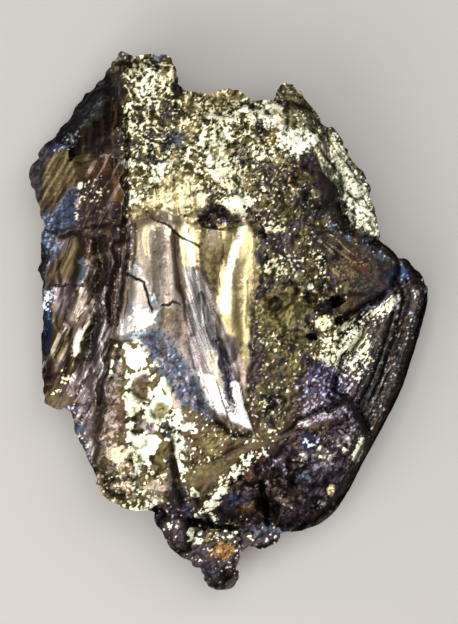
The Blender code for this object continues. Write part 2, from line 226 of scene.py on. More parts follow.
ragged_share = 1 - 0.85 * smooth(X, 6, 9) * smooth(-Y, -6, -3)
kept = inside & (depth_in > 0.5 + 0.42 * ragged_share * smooth(bite, 0.42, 0.75))
inside = connected(kept, np.hypot(X, Y) < MIDDLE)
print("kept inside:", int(inside.sum()), "of", int((hit_top & hit_bottom).sum()))

# %% [markdown]
# ## Drawing on the grid
#
# Zones of the specimen differ in how they grew: crust, folded sheet, striated face, stepped
# plate. Each zone is drawn as a soft mask, from a polygon, an ellipse or a line, and its edge is
# made ragged by the fractal, because no natural border is a ruled line.

# %% Soft masks
WARP_X = fractal(X, Y, 1.6, 50, octaves=4) - 0.5
WARP_Y = fractal(X, Y, 1.6, 60, octaves=4) - 0.5


def warped(ragged):
    """The grid's places, shifted at random by up to about this many mm."""
    return X + 2 * ragged * WARP_X, Y + 2 * ragged * WARP_Y


def distance_to(points, x, y):
    """Distance in mm to a line of points: |place - foot|, where the foot stays on its stretch."""
    nearest = np.full(X.shape, 1e9)
    for (ax, ay), (bx, by) in zip(points, points[1:]):
        dx, dy = bx - ax, by - ay
        share = np.clip(((x - ax) * dx + (y - ay) * dy) / (dx * dx + dy * dy), 0, 1)
        nearest = np.minimum(nearest, np.hypot(x - ax - share * dx, y - ay - share * dy))
    return nearest


def zone(corners, soft=0.25, ragged=0.6):
    """1 inside a polygon and 0 outside it, by the signed distance to its nearest side."""
    x, y = warped(ragged)
    nearest = distance_to(corners + corners[:1], x, y)
    return smooth(np.where(within(corners, x, y), nearest, -nearest), -soft, soft)


def spot(cx, cy, rx, ry, turn=0.0, soft=0.3, ragged=0.5):
    """1 inside an ellipse, fading over a share of its radius: 1 - |((x, y) - centre) / radii|."""
    x, y = warped(ragged)
    c, s = math.cos(math.radians(turn)), math.sin(math.radians(turn))
    u, v = (x - cx) * c + (y - cy) * s, (y - cy) * c - (x - cx) * s
    return smooth(1 - np.hypot(u / rx, v / ry), -soft, soft)


def line(points, width, soft=0.5, ragged=0.2):
    """1 on a line through the points, fading to 0 at its width: 1 - distance / width."""
    return smooth(1 - distance_to(points, *warped(ragged)) / width, 0, soft)


print("shifts for a raggedness of 1, in mm:", np.round([2 * WARP_X.min(), 2 * WARP_X.max()], 2))


# %% The zones of this specimen
ZONES = {
    "flank": zone([(-12.0, 25.2), (-10.2, 23.6), (-10.2, 8.6), (-19.0, 8.4), (-21, 15)]
                  + [(-18, 20)]),
    "striated": zone([(-20.4, 14.2), (-17.6, 17.8), (-15.4, 16.8), (-15.3, 13.6), (-18.6, 8.6)]),
    "folds": zone([(-20, 9.2), (-10.0, 9.4), (-11.6, -1.2), (-13.0, -9.6), (-13.2, -17.5)]
                  + [(-20, -9)]),
    "crust": zone([(-10.3, 9.8), (-10.4, 24.4), (-12.6, 25.4), (-11, 28), (-4, 28), (-4, 24)]
                  + [(3, 25), (9, 25), (10.5, 17.6), (8.4, 15.2), (9.6, 10.6), (7.6, 7.2)]
                  + [(2.4, 8.4), (-2.2, 8.6), (-6.8, 11.4)]),
    "pale": zone([(5.2, 21.2), (5.6, 24.6), (16, 16), (16, 8), (11.0, 9.0), (10.4, 13.6)]
                 + [(8.2, 17.2)]),
    "sheet": zone([(-10.1, 9.6), (-6.8, 11.2), (-2.2, 8.8), (3.2, 9.2), (1.7, -7.6), (-3.2, -7.2)]
                  + [(-7.6, -1.6), (-11.6, -1.4)]),
    "wedge": zone([(-3.7, 5.4), (-2.7, 5.2), (-1.2, 1.2), (0.7, -2.3), (1.5, -7.3), (2.2, -11.0)]
                  + [(-0.4, -10.0), (-2.6, -7.4), (-3.9, -3.0), (-4.2, 1.4)], ragged=0.3),
    "olive": zone([(2.9, 9.0), (7.8, 8.4), (11.6, 3.4), (10.6, -2.4), (8.0, -7.2), (3.2, -11.4)]
                  + [(1.8, -7.4)]),
    "corner": zone([(7.2, 8.6), (12.4, 9.2), (17, 7.6), (20, 4.4), (15.6, 2.8), (10.8, 2.6)]),
    "plate": zone([(20.5, 5), (15.4, 2.8), (11.0, -1.0), (9.6, -6.6), (11.8, -9.2), (11.2, -16.4)]
                  + [(6.4, -19.8), (6, -22), (14, -21)]),
    "bright": zone([(-11.6, -1.4), (-7.4, -1.2), (-3.2, -7.0), (3.2, -11.6), (-2.9, -15.2)]
                   + [(-4.2, -17.6), (-8.6, -19.4), (-13.6, -17.6), (-13.2, -8.0)]),
    "dark": zone([(-2.9, -15.4), (3.4, -12.0), (7.8, -9.8), (11.8, -8.6), (11.4, -16.6), (6.2, -21)]
                 + [(-3.4, -20.6)]),
    "foot": zone([(-8.0, -18.6), (-4.4, -17.2), (-2.6, -19.2), (4.8, -19.6), (6.4, -22.2), (0, -28)]
                 + [(-5, -27)]),
}
print("zones:", {name: int(mask[inside].sum()) for name, mask in ZONES.items()})

# %% [markdown]
# ## Crystals in numbers
#
# A crust of crystals looks like small blocks that stick out at all angles. Each knot of a net
# gets one block with its own place, size, turn, tilt and height. Its top is a tilted plane and
# its sides are steep, so its height is the lower of the two. Where blocks meet, the higher one
# shows, which makes sharp ridges and valleys. Which block shows is remembered, so that each can
# have a shade of its own.


# %% Blocks, streaks and steps
BLOCK_ROWS, BLOCK_COLUMNS = 113, 109


def crystals(size, tilt, steep, seed, long=1.6):
    """Highest of tilted blocks: min(top + slope . d, steep * (half size - |d|)), d from centre."""
    rolls = np.random.default_rng(seed).random((7, BLOCK_ROWS, BLOCK_COLUMNS))
    u, v = X / size, Y / size
    i, j = np.floor(u).astype(int), np.floor(v).astype(int)
    best, owner = np.zeros(X.shape), np.zeros(X.shape)
    for a in (-1, 0, 1):
        for b in (-1, 0, 1):
            here = rolls[:, (j + b) % BLOCK_ROWS, (i + a) % BLOCK_COLUMNS]
            jx, jy, angle, half, top, gx, gy = here
            dx, dy = u - (i + a + jx), v - (j + b + jy)
            c, s = np.cos(angle * math.pi), np.sin(angle * math.pi)
            across, along = dx * c + dy * s, (dy * c - dx * s) / long
            reach = 0.35 + 0.5 * half - np.maximum(np.abs(across), np.abs(along))
            height = 0.25 + 0.75 * top + tilt * ((gx - 0.5) * dx + (gy - 0.5) * dy) * 2
            height = np.minimum(height, steep * reach)
            owner = np.where(height > best, (top * 7.7 + angle * 3.1) % 1, owner)
            best = np.maximum(best, height)
    return best * size, owner


def stepped(values, rise, sharp=6.0):
    """Rounds heights to steps of a rise, with a short steep riser between flat treads."""
    level = values / rise
    part = level - np.floor(level)
    return (np.floor(level) + smooth((part - 0.5) * sharp + 0.5)) * rise


def streaks(turn, width, length, seed):
    """Fractal noise that is drawn out along one direction, in degrees from X."""
    c, s = math.cos(math.radians(turn)), math.sin(math.radians(turn))
    across = (Y * c - X * s + 0.3 * WARP_X) / width
    along = (X * c + Y * s) / length
    return fractal(across, along, 1.0, seed, octaves=3)


coarse = crystals(1.5, 0.7, 1.5, 70)[0]
medium, medium_owner = crystals(0.75, 0.8, 1.5, 71, long=2.0)
fine, fine_owner = crystals(0.38, 0.8, 1.4, 72)
print("crystal heights:", [round(float(h.max()), 2) for h in (coarse, medium, fine)])

# %% [markdown]
# ## The display face
#
# The solid gives the broad forms with straight edges between them. Those edges are broken up by
# reading its heights at places shifted at random, and its narrow slots are made shallower. Then
# each zone adds its own growth: blocks and grains on the crust, long folds on the sheet, thin
# steps on the plates, fine ribs on the striated faces.


# %% Heights of the face
def softened(heights, radius):
    """A blur that looks only at points inside the outline: blur(height * mask) / blur(mask)."""
    weight = blurred(inside.astype(float), radius)
    return blurred(np.where(inside, heights, 0), radius) / np.maximum(weight, 1e-4)


def read(heights, x, y):
    """Heights at any places in mm, blended between the four nearest points of the grid."""
    column = np.clip((x - columns[0]) / SPACING, 0, X.shape[1] - 1.001)
    row = np.clip((y - rows[0]) / SPACING, 0, X.shape[0] - 1.001)
    i, j = row.astype(int), column.astype(int)
    low = blend(heights[i, j], heights[i, j + 1], column - j)
    high = blend(heights[i + 1, j], heights[i + 1, j + 1], column - j)
    return blend(low, high, row - i)


def carried_out(heights):
    """Heights continued past the solid's own outline: blur(height * known) / blur(known)."""
    near = softened(np.where(solid_hit, heights, 0), 0.6)
    return np.where(solid_hit, heights, near / np.maximum(softened(solid_hit, 0.6), 0.05))


STEEP, CLIFF = (1.7, 3.0), (2.2, 3.8)


def ledged(heights, rise, seed):
    """Steep places as flights of ledges: steps of the blurred heights where the slope is over 2."""
    broad = softened(heights, 0.45) + 0.5 * fractal(X, Y, 2.0, seed)
    slopes = np.gradient(softened(heights, 0.2), SPACING)
    steep = np.where(inside, smooth(np.hypot(*slopes), *STEEP), 0)
    near = np.clip(1.6 * softened(steep, 0.3), 0, 1)
    cliffs = np.where(inside, smooth(np.hypot(*slopes), *CLIFF), 0)
    return blend(heights, stepped(broad, rise, 2.5) - 0.25, 0.8 * near), softened(cliffs, 0.1)


calm = np.clip(ZONES["sheet"] + ZONES["wedge"] + ZONES["folds"] + ZONES["flank"], 0, 1)
straight = np.clip(ZONES["sheet"] + ZONES["wedge"] + ZONES["plate"], 0, 1)
RAGGED = 1.5 * (1 - 0.7 * softened(straight, 0.3))
SHALLOWER = [
    line([(-10.3, 26.0), (-10.3, 8.6)], 1.3, soft=0.4),
    line([(-11.7, -1.4), (-13.2, -9.5)], 1.5, soft=0.4),
    line([(-10.2, 8.8), (-11.6, -1.0)], 1.0, soft=0.4),
    spot(-0.6, 10.2, 3.0, 2.2), spot(10.6, 6.9, 1.6, 1.6), spot(8.1, 2.7, 1.6, 1.6),
]
known = carried_out(solid_top)
for place_there in SHALLOWER:
    level = softened(known, 1.2) - 0.25
    known = blend(known, np.maximum(known, level), place_there)
depth_in = blurred(inside.astype(float), 0.5)
core = (depth_in > 0.85).astype(float)
from_core = blurred(core * known, 0.6) / np.maximum(blurred(core, 0.6), 1e-3)
rim_share = smooth(-depth_in, -0.92, -0.7) * (blurred(core, 0.6) > 0.02)
raised_rim = np.clip(ZONES["crust"] + ZONES["pale"] + ZONES["bright"] + ZONES["foot"], 0, 1)
known = blend(known, np.maximum(known, from_core - 0.3), rim_share * raised_rim)
top = softened(read(known, X + RAGGED * WARP_X, Y + RAGGED * WARP_Y), 0.12)
slate_band = [(-7.1, -2.0), (-5.9, -3.6), (-4.2, -6.0), (-2.6, -9.4)]
top = blend(top, softened(top, 0.7), 0.9 * line(slate_band, 2.2, 0.6))
laid, cliff = ledged(top, 0.5, 78)
cliff = cliff * (1 - 0.8 * ZONES["flank"] * smooth(-X, 11.4, 12.6))
top = blend(top, laid, 1 - 0.8 * np.clip(ZONES["sheet"] + ZONES["flank"], 0, 1))
top = blend(top, softened(top, 0.4), 0.85 * ZONES["sheet"] * (1 - ZONES["wedge"]))
grainy = ZONES["crust"] + ZONES["pale"] + ZONES["bright"] + ZONES["olive"] + ZONES["dark"]
grainy = np.clip(grainy, 0, 1)
grainy = np.clip(grainy + 0.7 * ZONES["foot"] + 0.35 * ZONES["plate"], 0, 1)
crust = 0.22 * (coarse - 0.6) + 0.42 * (medium - 0.3) + 0.45 * (fine - 0.15)
grainy = grainy * (1 - 0.9 * calm) * (1 - 0.45 * ZONES["bright"]) * (1 - 0.3 * ZONES["olive"])
top += blend(0.05, 1.0, grainy) * crust

plates = stepped(0.9 * fractal(X, Y, 5.0, 80) + 0.35 * fractal(X, Y, 1.2, 84), 0.11)
top += (0.5 * ZONES["plate"] + 0.4 * ZONES["corner"] + 0.3 * ZONES["dark"]) * plates
top += ZONES["plate"] * (0.35 * streaks(66, 0.5, 9, 86) + 0.12 * streaks(66, 0.2, 5, 88))
top += ZONES["sheet"] * (0.10 * streaks(93, 1.2, 14, 90) + 0.06 * streaks(91, 0.3, 5, 94))
top += ZONES["sheet"] * (0.12 * fractal(X, Y, 0.9, 95, 3) + 0.03 * fine)
top += ZONES["folds"] * (0.5 * streaks(66, 0.9, 9, 98) + 0.14 * streaks(62, 0.3, 4, 102))
top += ZONES["wedge"] * 0.14 * streaks(110, 0.25, 8, 106)
top += ZONES["flank"] * (0.10 * streaks(3, 0.2, 2.4, 110) + 0.16 * streaks(92, 0.7, 10, 114))
top += ZONES["striated"] * 0.2 * streaks(58, 0.28, 6, 118)
top += ZONES["corner"] * 0.22 * streaks(-40, 0.3, 6, 122)
top += ZONES["pale"] * 0.25 * streaks(-52, 0.4, 4, 126)
print("face heights:", np.round([top[inside].min(), top[inside].max()], 2))

# %% Folds, cracks and pits that are placed one by one
FOLDS = [
    (0.7, 1.3, [(1.2, 9.0), (0.0, 6.2), (-0.4, 2.2), (-0.2, -1.0)]),
    (0.4, 0.7, [(-4.2, 9.0), (-3.7, 6.5), (-3.5, 4.2)]),
    (0.5, 0.9, [(-11.7, 3.9), (-13.3, 1.2), (-14.6, -1.2), (-15.2, -3.2)]),
    (0.4, 0.6, [(-10.8, -1.6), (-12.0, -5.7), (-13.0, -9.8)]),
    (0.5, 0.7, [(0.6, -6.0), (1.2, -8.5), (1.7, -10.6)]),
    (0.3, 0.6, [(-2.9, -18.8), (-1.9, -18.0), (-0.7, -16.4), (0.6, -14.5), (2.1, -13.1)]
     + [(3.3, -12.7)]),
]
CRACKS = [
    (0.20, 0.15, [(-7.7, 10.4), (-5.2, 9.0), (-2.9, 7.2)]),
    (0.25, 0.16, [(-9.9, 4.8), (-8.4, 3.6), (-7.7, 1.3)]),
    (0.15, 0.12, [(-6.9, 1.5), (-5.6, 1.9), (-4.8, 1.7)]),
    (0.4, 0.4, [(-9.9, 9.2), (-10.4, 4.2), (-11.2, 0.2), (-12.0, -3.8), (-12.9, -7.8)]),
    (0.25, 0.14, [(-17.4, 3.8), (-14.6, 3.6), (-11.6, 3.7)]),
    (0.3, 0.45, [(-5.3, 8.8), (-5.1, 5.8), (-4.7, 3.4), (-4.1, 1.4), (-3.7, -1.0)]),
    (0.5, 0.35, [(3.2, -15.6), (3.9, -20.0)]),
    (0.3, 0.3, [(-3.9, -19.6), (-1.6, -20.2), (0.8, -20.5)]),
    (0.3, 0.3, [(-1.1, -1.8), (-0.2, -4.5), (0.3, -8.4)]),
    (0.35, 0.5, [(-5.7, -10.6), (-5.4, -14.5), (-4.6, -18.2)]),
]
PITS = [(10.6, 2.0, 0.7, 0.4, 10), (8.0, -1.4, 0.5, 0.3, -40), (-15.5, 16.7, 0.25, 0.5)]
top = blend(top, softened(top, 0.7), line([(-3.4, -15.6), (0.0, -13.7), (3.6, -11.8)], 1.8, 0.8))
for height, width, points in FOLDS:
    top += height * line(points, width, soft=1.0)
for depth, width, points in CRACKS:
    top -= depth * line(points, width, soft=1.0, ragged=min(0.5, 0.08 / width))
for pit in PITS:
    top -= 0.6 * spot(*pit)
print("folds, cracks and pits:", len(FOLDS), len(CRACKS), len(PITS))

# %% [markdown]
# ## The back
#
# Nobody sees the back in a display case, but it is there when the specimen is picked up. It is a
# cleavage face: nearly flat, with low steps where one sheet of the mineral ended, and long
# straight lines in the directions of its lattice. All of that is cut into the solid's back, never
# added to it, so that it still rests on its flat face.


# %% Heights of the back
def terraces(turn, width, rise, seed):
    """Steps along one direction whose fronts wander: the sum of straight distance and noise."""
    c, s = math.cos(math.radians(turn)), math.sin(math.radians(turn))
    ramp = (X * c + Y * s) / width + 1.6 * fractal(X, Y, 6.0, seed, octaves=3)
    return stepped(np.abs((ramp / 2) % 1 * 2 - 1), 0.17) * rise


LEAST_THICKNESS = 0.5
LATTICE = (10, 70, 130)
sheets = sum(terraces(turn, 9.0, 0.22, 130 + turn) for turn in LATTICE)
lattice_lines = sum(smooth(streaks(turn, 0.25, 20, 140 + turn), 0.6, 0.75) for turn in LATTICE)
chipped = smooth(fractal(X, Y, 2.4, 150), 0.58, 0.72) * (0.25 + 0.3 * coarse)
bottom, undercut = ledged(softened(carried_out(solid_bottom), 0.08), 0.45, 154)
bottom = bottom + sheets - sheets[inside].min() + 0.05 * lattice_lines + 0.5 * chipped
bottom = np.maximum(bottom, 0)
top = np.maximum(top, bottom + LEAST_THICKNESS)
print("back heights:", np.round([bottom[inside].min(), bottom[inside].max()], 3))

# %% [markdown]
# ## Cutting the grid into pieces
#
# One mesh this fine would be too heavy to handle, so the grid is shared between five pieces that
# meet along its crevices. A cell belongs to the specimen when its four corners do. Cells that
# touch only at a corner would give a mesh with a pinched edge, so they are relabelled first.

# %% Which cell belongs to which piece
PIECES = ["left_flank", "upper_crust", "middle_sheet", "right_plate", "lower_facets"]
FLANK, CREST, SHEET, PLATE, FACETS = range(len(PIECES))
NO_PIECE = -1
MOST_ROUNDS = 60


def unpinched(labels):
    """Relabels cells until none meets another of its own label only across a corner."""
    for _ in range(MOST_ROUNDS):
        pinches = 0
        for low_a, low_b in (((0, 0), (0, 1)), ((0, 1), (0, 0))):
            view = lambda i, j: labels[i : labels.shape[0] - 1 + i, j : labels.shape[1] - 1 + j]
            a, b = view(*low_a), view(*low_b)
            d, c = view(1, 1 - low_a[1]), view(1, 1 - low_b[1])
            bad = (a == d) & (a >= 0) & (b != a) & (c != a)
            pinches += int(bad.sum())
            b[bad & (b >= 0)] = a[bad & (b >= 0)]
            bad &= b != a
            c[bad & (c >= 0)] = a[bad & (c >= 0)]
            bad &= c != a
            a[bad] = NO_PIECE
        if not pinches:
            break
    return labels


cells = inside[:-1, :-1] & inside[1:, :-1] & inside[:-1, 1:] & inside[1:, 1:]
central = np.zeros(cells.shape, bool)
central[cells.shape[0] // 2, cells.shape[1] // 2] = True
for _ in range(4):
    cells = connected(unpinched(np.where(cells, SHEET, NO_PIECE)) == SHEET, central)
cx, cy = X[:-1, :-1] + SPACING / 2, Y[:-1, :-1] + SPACING / 2
labels = np.full(cells.shape, SHEET)
labels[cx > np.interp(cy, [-12, -7, 9], [3.0, 2.2, 2.9])] = PLATE
facets_line = [-1.2, -1.2, -7, -11, -9.8, -8]
labels[cy < np.interp(cx, [-14, -7.4, -3.2, 1.6, 8, 20], facets_line)] = FACETS
crest_line = [9.8, 11, 8.8, 8.8, 7.4, 9, 8]
labels[cy > np.interp(cx, [-10.3, -6.8, -2.2, 3, 7.6, 11, 17], crest_line)] = CREST
flank_line = [-15.8, -12.6, -11.6, -10.2, -10.3, -12.4]
labels[cx < np.interp(cy, [-10.5, -7, -1, 9, 22, 27], flank_line)] = FLANK
labels = unpinched(np.where(cells, labels, NO_PIECE))
print("cells:", {name: int((labels == k).sum()) for k, name in enumerate(PIECES)})

# %% [markdown]
# ## Smooth borders
#
# A border that follows the grid is a staircase. Its points are drawn towards the middle of their
# two neighbours on the border a few times, which rounds the stairs off. Points where three pieces
# meet stay where they are. Many more rounds give an eased line, which the walls below will need.

# %% Border points
WIDTH = X.shape[1]
padded = np.pad(labels, 1, constant_values=NO_PIECE)
point_ids = np.arange(X.size).reshape(X.shape)
across = padded[1:, :-1] != padded[1:, 1:]
upright = padded[:-1, 1:] != padded[1:, 1:]
edges = np.concatenate(
    [
        np.stack([point_ids[:-1][across[:-1]], point_ids[1:][across[:-1]]], 1),
        np.stack([point_ids[:, :-1][upright[:, :-1]], point_ids[:, 1:][upright[:, :-1]]], 1),
    ]
)
count = np.bincount(edges.ravel(), minlength=X.size)


def drawn_in(points, times):
    """Border points moved halfway to the middle of their two neighbours, this many times."""
    for _ in range(times):
        near = np.zeros_like(points)
        np.add.at(near, edges[:, 0], points[edges[:, 1]])
        np.add.at(near, edges[:, 1], points[edges[:, 0]])
        points = np.where((count == 2)[:, None], 0.5 * points + 0.25 * near, points)
    return points


TIMES, MORE_TIMES = 8, 50
place = drawn_in(np.stack([X.ravel(), Y.ravel()], 1), TIMES)
eased = drawn_in(place, MORE_TIMES)
print("border edges:", len(edges), "meeting points:", int((count > 2).sum()))

# %% [markdown]
# ## Layered edges
#
# Plate minerals break at the edge like the edge of a book. The wall between face and back is made
# of layers, and each layer is set back by its own amount from the eased border, so that no chip
# of the rim runs down the wall. Every layer has two rows of points at the same setback, so it
# stands upright and a small ledge lies between it and the next.

# %% Rows of points down the walls
LAYERS = 9
SETBACK = 1.1
FIRST_SHARE, LAST_SHARE = 0.35, 0.1
ROW_GAP, CLEARANCE = 0.02, 0.1
open_side = np.zeros(X.shape, bool)
for down in (0, 1):
    for right in (0, 1):
        open_side[down : down + cells.shape[0], right : right + cells.shape[1]] |= labels < 0
inward_y, inward_x = np.gradient(blurred(inside.astype(float), 0.5), SPACING)
inward = np.stack([inward_x.ravel(), inward_y.ravel()], 1)
inward /= np.maximum(np.linalg.norm(inward, axis=1, keepdims=True), 1e-6)


def wall_rows(points):
    """Inner rows of the walls: eased + inward * setback(layer), height from top to bottom."""
    x, y = eased[points, 0], eased[points, 1]
    start, end = top.ravel()[points], bottom.ravel()[points]
    reach = SETBACK * open_side.ravel()[points] * smooth(start - end, 0.3, 2.5)
    from_rim = np.where(open_side.ravel()[points, None], eased[points], place[points])
    made = []
    for layer in range(LAYERS):
        edge = [(k + 0.6 * (noise(x, y, 2.6, 160 + k) - 0.5) * (0 < k < LAYERS)) / LAYERS
                for k in (layer, layer + 1)]
        chips = 0.6 * noise(x, y, 1.9, 180 + layer) + 0.28 * noise(x, y, 0.6, 195 + layer)
        chips += 0.12 * noise(x, y, 0.25, 210 + layer)
        back = reach * chips * {0: FIRST_SHARE, LAYERS - 1: LAST_SHARE}.get(layer, 1)
        start_line = place[points] if layer == LAYERS - 1 else from_rim
        spots = start_line + inward[points] * back[:, None]
        highest, lowest = read(top, *spots.T) - CLEARANCE, read(bottom, *spots.T) + CLEARANCE
        for share in (edge[0] + ROW_GAP, edge[1] - ROW_GAP):
            level = np.maximum(np.minimum(start + (end - start) * share, highest), lowest)
            level = np.where(reach > 0, level, start + (end - start) * share)
            made.append(np.column_stack([spots, level]))
    return np.stack(made, 1)


print("rows in a wall:", wall_rows(point_ids[:1, 0]).shape[1] + 2)

# %% [markdown]
# ## Closing each piece
#
# Each piece gets the fine face on top, the walls, and the back. The back is plainer, so wherever
# four cells are all in the piece they become one larger polygon there, which keeps a point on a
# side only where its neighbour still needs it. Then no edge has only one face.


# %% Faces of a piece
def piece_arrays(member):
    """Grid points of the face's squares, of the border's edges and of the back's polygons."""
    i, j = np.nonzero(member)
    at = lambda di, dj, rows_=i, cols_=j: (rows_ + di) * WIDTH + cols_ + dj
    quads = np.stack([at(0, 0), at(0, 1), at(1, 1), at(1, 0)], 1)

    wide = np.pad(member, 1)
    beside = [wide[:-2, 1:-1], wide[1:-1, 2:], wide[2:, 1:-1], wide[1:-1, :-2]]
    border = [quads[~beside[s][i, j]][:, [s, (s + 1) % 4]] for s in range(4)]
    border = np.concatenate(border)

    rows_even, cols_even = (member.shape[0] + 1) // 2 * 2, (member.shape[1] + 1) // 2 * 2
    even = np.zeros((rows_even, cols_even), bool)
    even[: member.shape[0], : member.shape[1]] = member
    full = even.reshape(rows_even // 2, 2, cols_even // 2, 2).all((1, 3))
    bi, bj = np.nonzero(full)
    ring = [(0, 0), (0, 1), (0, 2), (1, 2), (2, 2), (2, 1), (2, 0), (1, 0)]
    blocks = np.stack([(2 * bi + di) * WIDTH + 2 * bj + dj for di, dj in ring], 1)
    wide = np.pad(full, 1)
    needed = np.ones(blocks.shape, bool)
    for slot, (di, dj) in zip((1, 3, 5, 7), ((0, 1), (1, 2), (2, 1), (1, 0))):
        needed[:, slot] = ~wide[bi + di, bj + dj]
    single = member & ~np.repeat(np.repeat(full, 2, 0), 2, 1)[: member.shape[0], : member.shape[1]]
    si, sj = np.nonzero(single)
    singles = np.stack([at(0, 0, si, sj), at(0, 1, si, sj), at(1, 1, si, sj), at(1, 0, si, sj)], 1)
    under = np.concatenate([blocks[:, ::-1][needed[:, ::-1]], singles[:, ::-1].ravel()])
    under_sizes = np.concatenate([needed.sum(1), np.full(len(singles), 4)])
    return quads, border, under, under_sizes


print("face squares of the flank:", len(piece_arrays(labels == FLANK)[0]))

# %% [markdown]
# ## From arrays to a mesh
#
# The arrays become one mesh a piece, with the values painted on its points. Each face also gets
# its place on a flat map, so that colours can be painted to an image later: the face in the large
# field of the map, the back in a smaller one, and the walls in strips.


# %% A closed piece and its map
def spread(values, low, high):
    """Values stretched to run from low to high."""
    span = max(float(values.max() - values.min()), 1e-9)
    return low + (high - low) * (values - values.min()) / span


def closed_piece(name, member):
    """Joins the arrays into a mesh object, with its map and the values painted on its points."""
    quads, border, under, under_sizes = piece_arrays(member)
    face_points, back_points = np.unique(quads), np.unique(under)
    start = np.full(X.size, -1)
    start[face_points] = np.arange(len(face_points))
    finish = np.full(X.size, -1)
    finish[back_points] = np.arange(len(back_points)) + len(face_points)
    columns_from = border[:, 0]
    rows_down = wall_rows(columns_from)
    depth = rows_down.shape[1]
    column = np.full((X.size, depth + 2), -1)
    first = len(face_points) + len(back_points)
    column[columns_from, 1:-1] = first + np.arange(len(border) * depth).reshape(-1, depth)
    column[:, 0], column[:, -1] = start, finish
    verts = np.concatenate(
        [
            np.column_stack([place[face_points], top.ravel()[face_points]]),
            np.column_stack([place[back_points], bottom.ravel()[back_points]]),
            rows_down.reshape(-1, 3),
        ]
    )
    left, right = column[border[:, 0]], column[border[:, 1]]
    walls = np.stack([right[:, :-1], left[:, :-1], left[:, 1:], right[:, 1:]], 2).reshape(-1, 4)

    loops = np.concatenate([start[quads].ravel(), walls.ravel(), finish[under]])
    sizes = np.concatenate([np.full(len(quads) + len(walls), 4), under_sizes])
    mesh = bpy.data.meshes.new(name)
    mesh.vertices.add(len(verts))
    mesh.vertices.foreach_set("co", (verts * MM).ravel())
    mesh.loops.add(len(loops))
    mesh.loops.foreach_set("vertex_index", loops)
    mesh.polygons.add(len(sizes))
    mesh.polygons.foreach_set("loop_start", np.concatenate([[0], np.cumsum(sizes)[:-1]]))
    mesh.update(calc_edges=True)
    mesh.validate()

    flat = place[:, 0], place[:, 1]
    top_map = np.stack([spread(v[face_points], *f) for v, f in zip(flat, FACE_FIELD)], 1)
    back_map = np.stack([spread(v[back_points], *f) for v, f in zip(flat, BACK_FIELD)], 1)
    angle = np.arctan2(*(place[border[:, 0]] - place[border[:, 0]].mean(0)).T)
    shown = open_side.ravel()[border].all(1)
    order = np.empty(len(border))
    order[np.lexsort((angle, ~shown))] = np.arange(len(border))
    strip_length = math.ceil(len(border) / STRIPS)
    strip, along = np.divmod(order, strip_length)
    u = along[:, None, None] + np.array([1, 0, 0, 1]) * FILLED_ACROSS
    down = np.arange(depth + 1)[None, :, None] + np.array([0, 0, 1, 1])
    v = strip[:, None, None] + FILLED_DOWN * down / (depth + 1)
    v = STRIPS_FROM + (1 - STRIPS_FROM) * v / STRIPS
    u, v = np.broadcast_arrays(u / strip_length, v)
    uv = np.concatenate(
        [
            top_map[start[quads].ravel()],
            np.stack([u.ravel(), v.ravel()], 1),
            back_map[finish[under] - len(face_points)],
        ]
    )
    mesh.uv_layers.new(name="OFBake").data.foreach_set("uv", uv.ravel())

    for value_name, (on_face, on_wall, on_back) in PAINTED.items():
        face, wall, back = (v.reshape(X.size, -1) for v in (on_face, on_wall, on_back))
        values = [face[face_points], back[back_points], np.repeat(wall[columns_from], depth, 0)]
        values = np.concatenate(values).astype(np.float32)
        if values.shape[1] == 3:
            layer = mesh.attributes.new(value_name, "FLOAT_COLOR", "POINT")
            layer.data.foreach_set("color", np.column_stack([values, np.ones(len(values))]).ravel())
        else:
            layer = mesh.attributes.new(value_name, "FLOAT", "POINT")
            layer.data.foreach_set("value", values.ravel())

    mesh.shade_smooth()
    mesh.set_sharp_from_angle(angle=math.radians(CREASE))
    made = bpy.data.objects.new(name, mesh)
    bpy.context.scene.collection.objects.link(made)
    mesh.materials.append(covellite)
    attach(made, "root")
    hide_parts("covellite_specimen")
    mesh.calc_loop_triangles()
    print(name, "triangles:", len(mesh.loop_triangles))
    return made


FACE_FIELD, BACK_FIELD = ((0, 0.62), (0, 0.75)), ((0.64, 1), (0, 0.6))
STRIPS, STRIPS_FROM = 4, 0.76
FILLED_ACROSS, FILLED_DOWN = 0.9, 0.96
CREASE = 38
print("map fields:", FACE_FIELD, BACK_FIELD, "strips from", STRIPS_FROM)

# %% [markdown]
# ## How colour is put on
#
# Colour follows growth. A clean brassy grain is pale and a tarnished one is olive or blue, and they
# lie side by side. The palest coats are partly painted reflection: cream, mint, lemon, ice and
# white stand in part for the glare of the lamps on facets that face them, and the dark in the
# hollows is painted shade, added at the end. So colour goes on in coats, the way a model maker dabs
# paint: each coat has one colour from a short list, a shape where it goes, and a kind of texture
# that decides which grains inside the shape take it. A texture is a field of chances that is evened
# out, so that a cover of 0.3 always paints 30 % of the place. Below, paint puts coats on one shape,
# one over the other, and dab puts single coats on small ellipses.

# %% Colours, textures and coats
# Cream, mint, lemon, ice and white are partly the crust's own pale colour and partly painted
# reflection of the lamps.
COLOURS = {
    "soot": (0.011, 0.010, 0.011), "char": (0.032, 0.028, 0.028), "brown": (0.066, 0.043, 0.024),
    "rust": (0.080, 0.034, 0.020), "amber": (0.26, 0.13, 0.035), "olive": (0.088, 0.069, 0.028),
    "moss": (0.142, 0.119, 0.046), "gold": (0.46, 0.37, 0.19), "lemon": (0.80, 0.72, 0.44),
    "bronze": (0.36, 0.285, 0.215), "mauve": (0.25, 0.195, 0.195), "rose": (0.60, 0.50, 0.47),
    "putty": (0.29, 0.25, 0.205), "slate": (0.066, 0.084, 0.12), "steel": (0.20, 0.26, 0.34),
    "ice": (0.72, 0.83, 0.92), "navy": (0.022, 0.034, 0.085), "indigo": (0.050, 0.046, 0.11),
    "plum": (0.044, 0.031, 0.038), "lilac": (0.50, 0.46, 0.62), "teal": (0.045, 0.14, 0.13),
    "silver": (0.58, 0.57, 0.55), "cream": (0.82, 0.76, 0.50), "mint": (0.81, 0.82, 0.61),
    "white": (0.94, 0.93, 0.87),
}


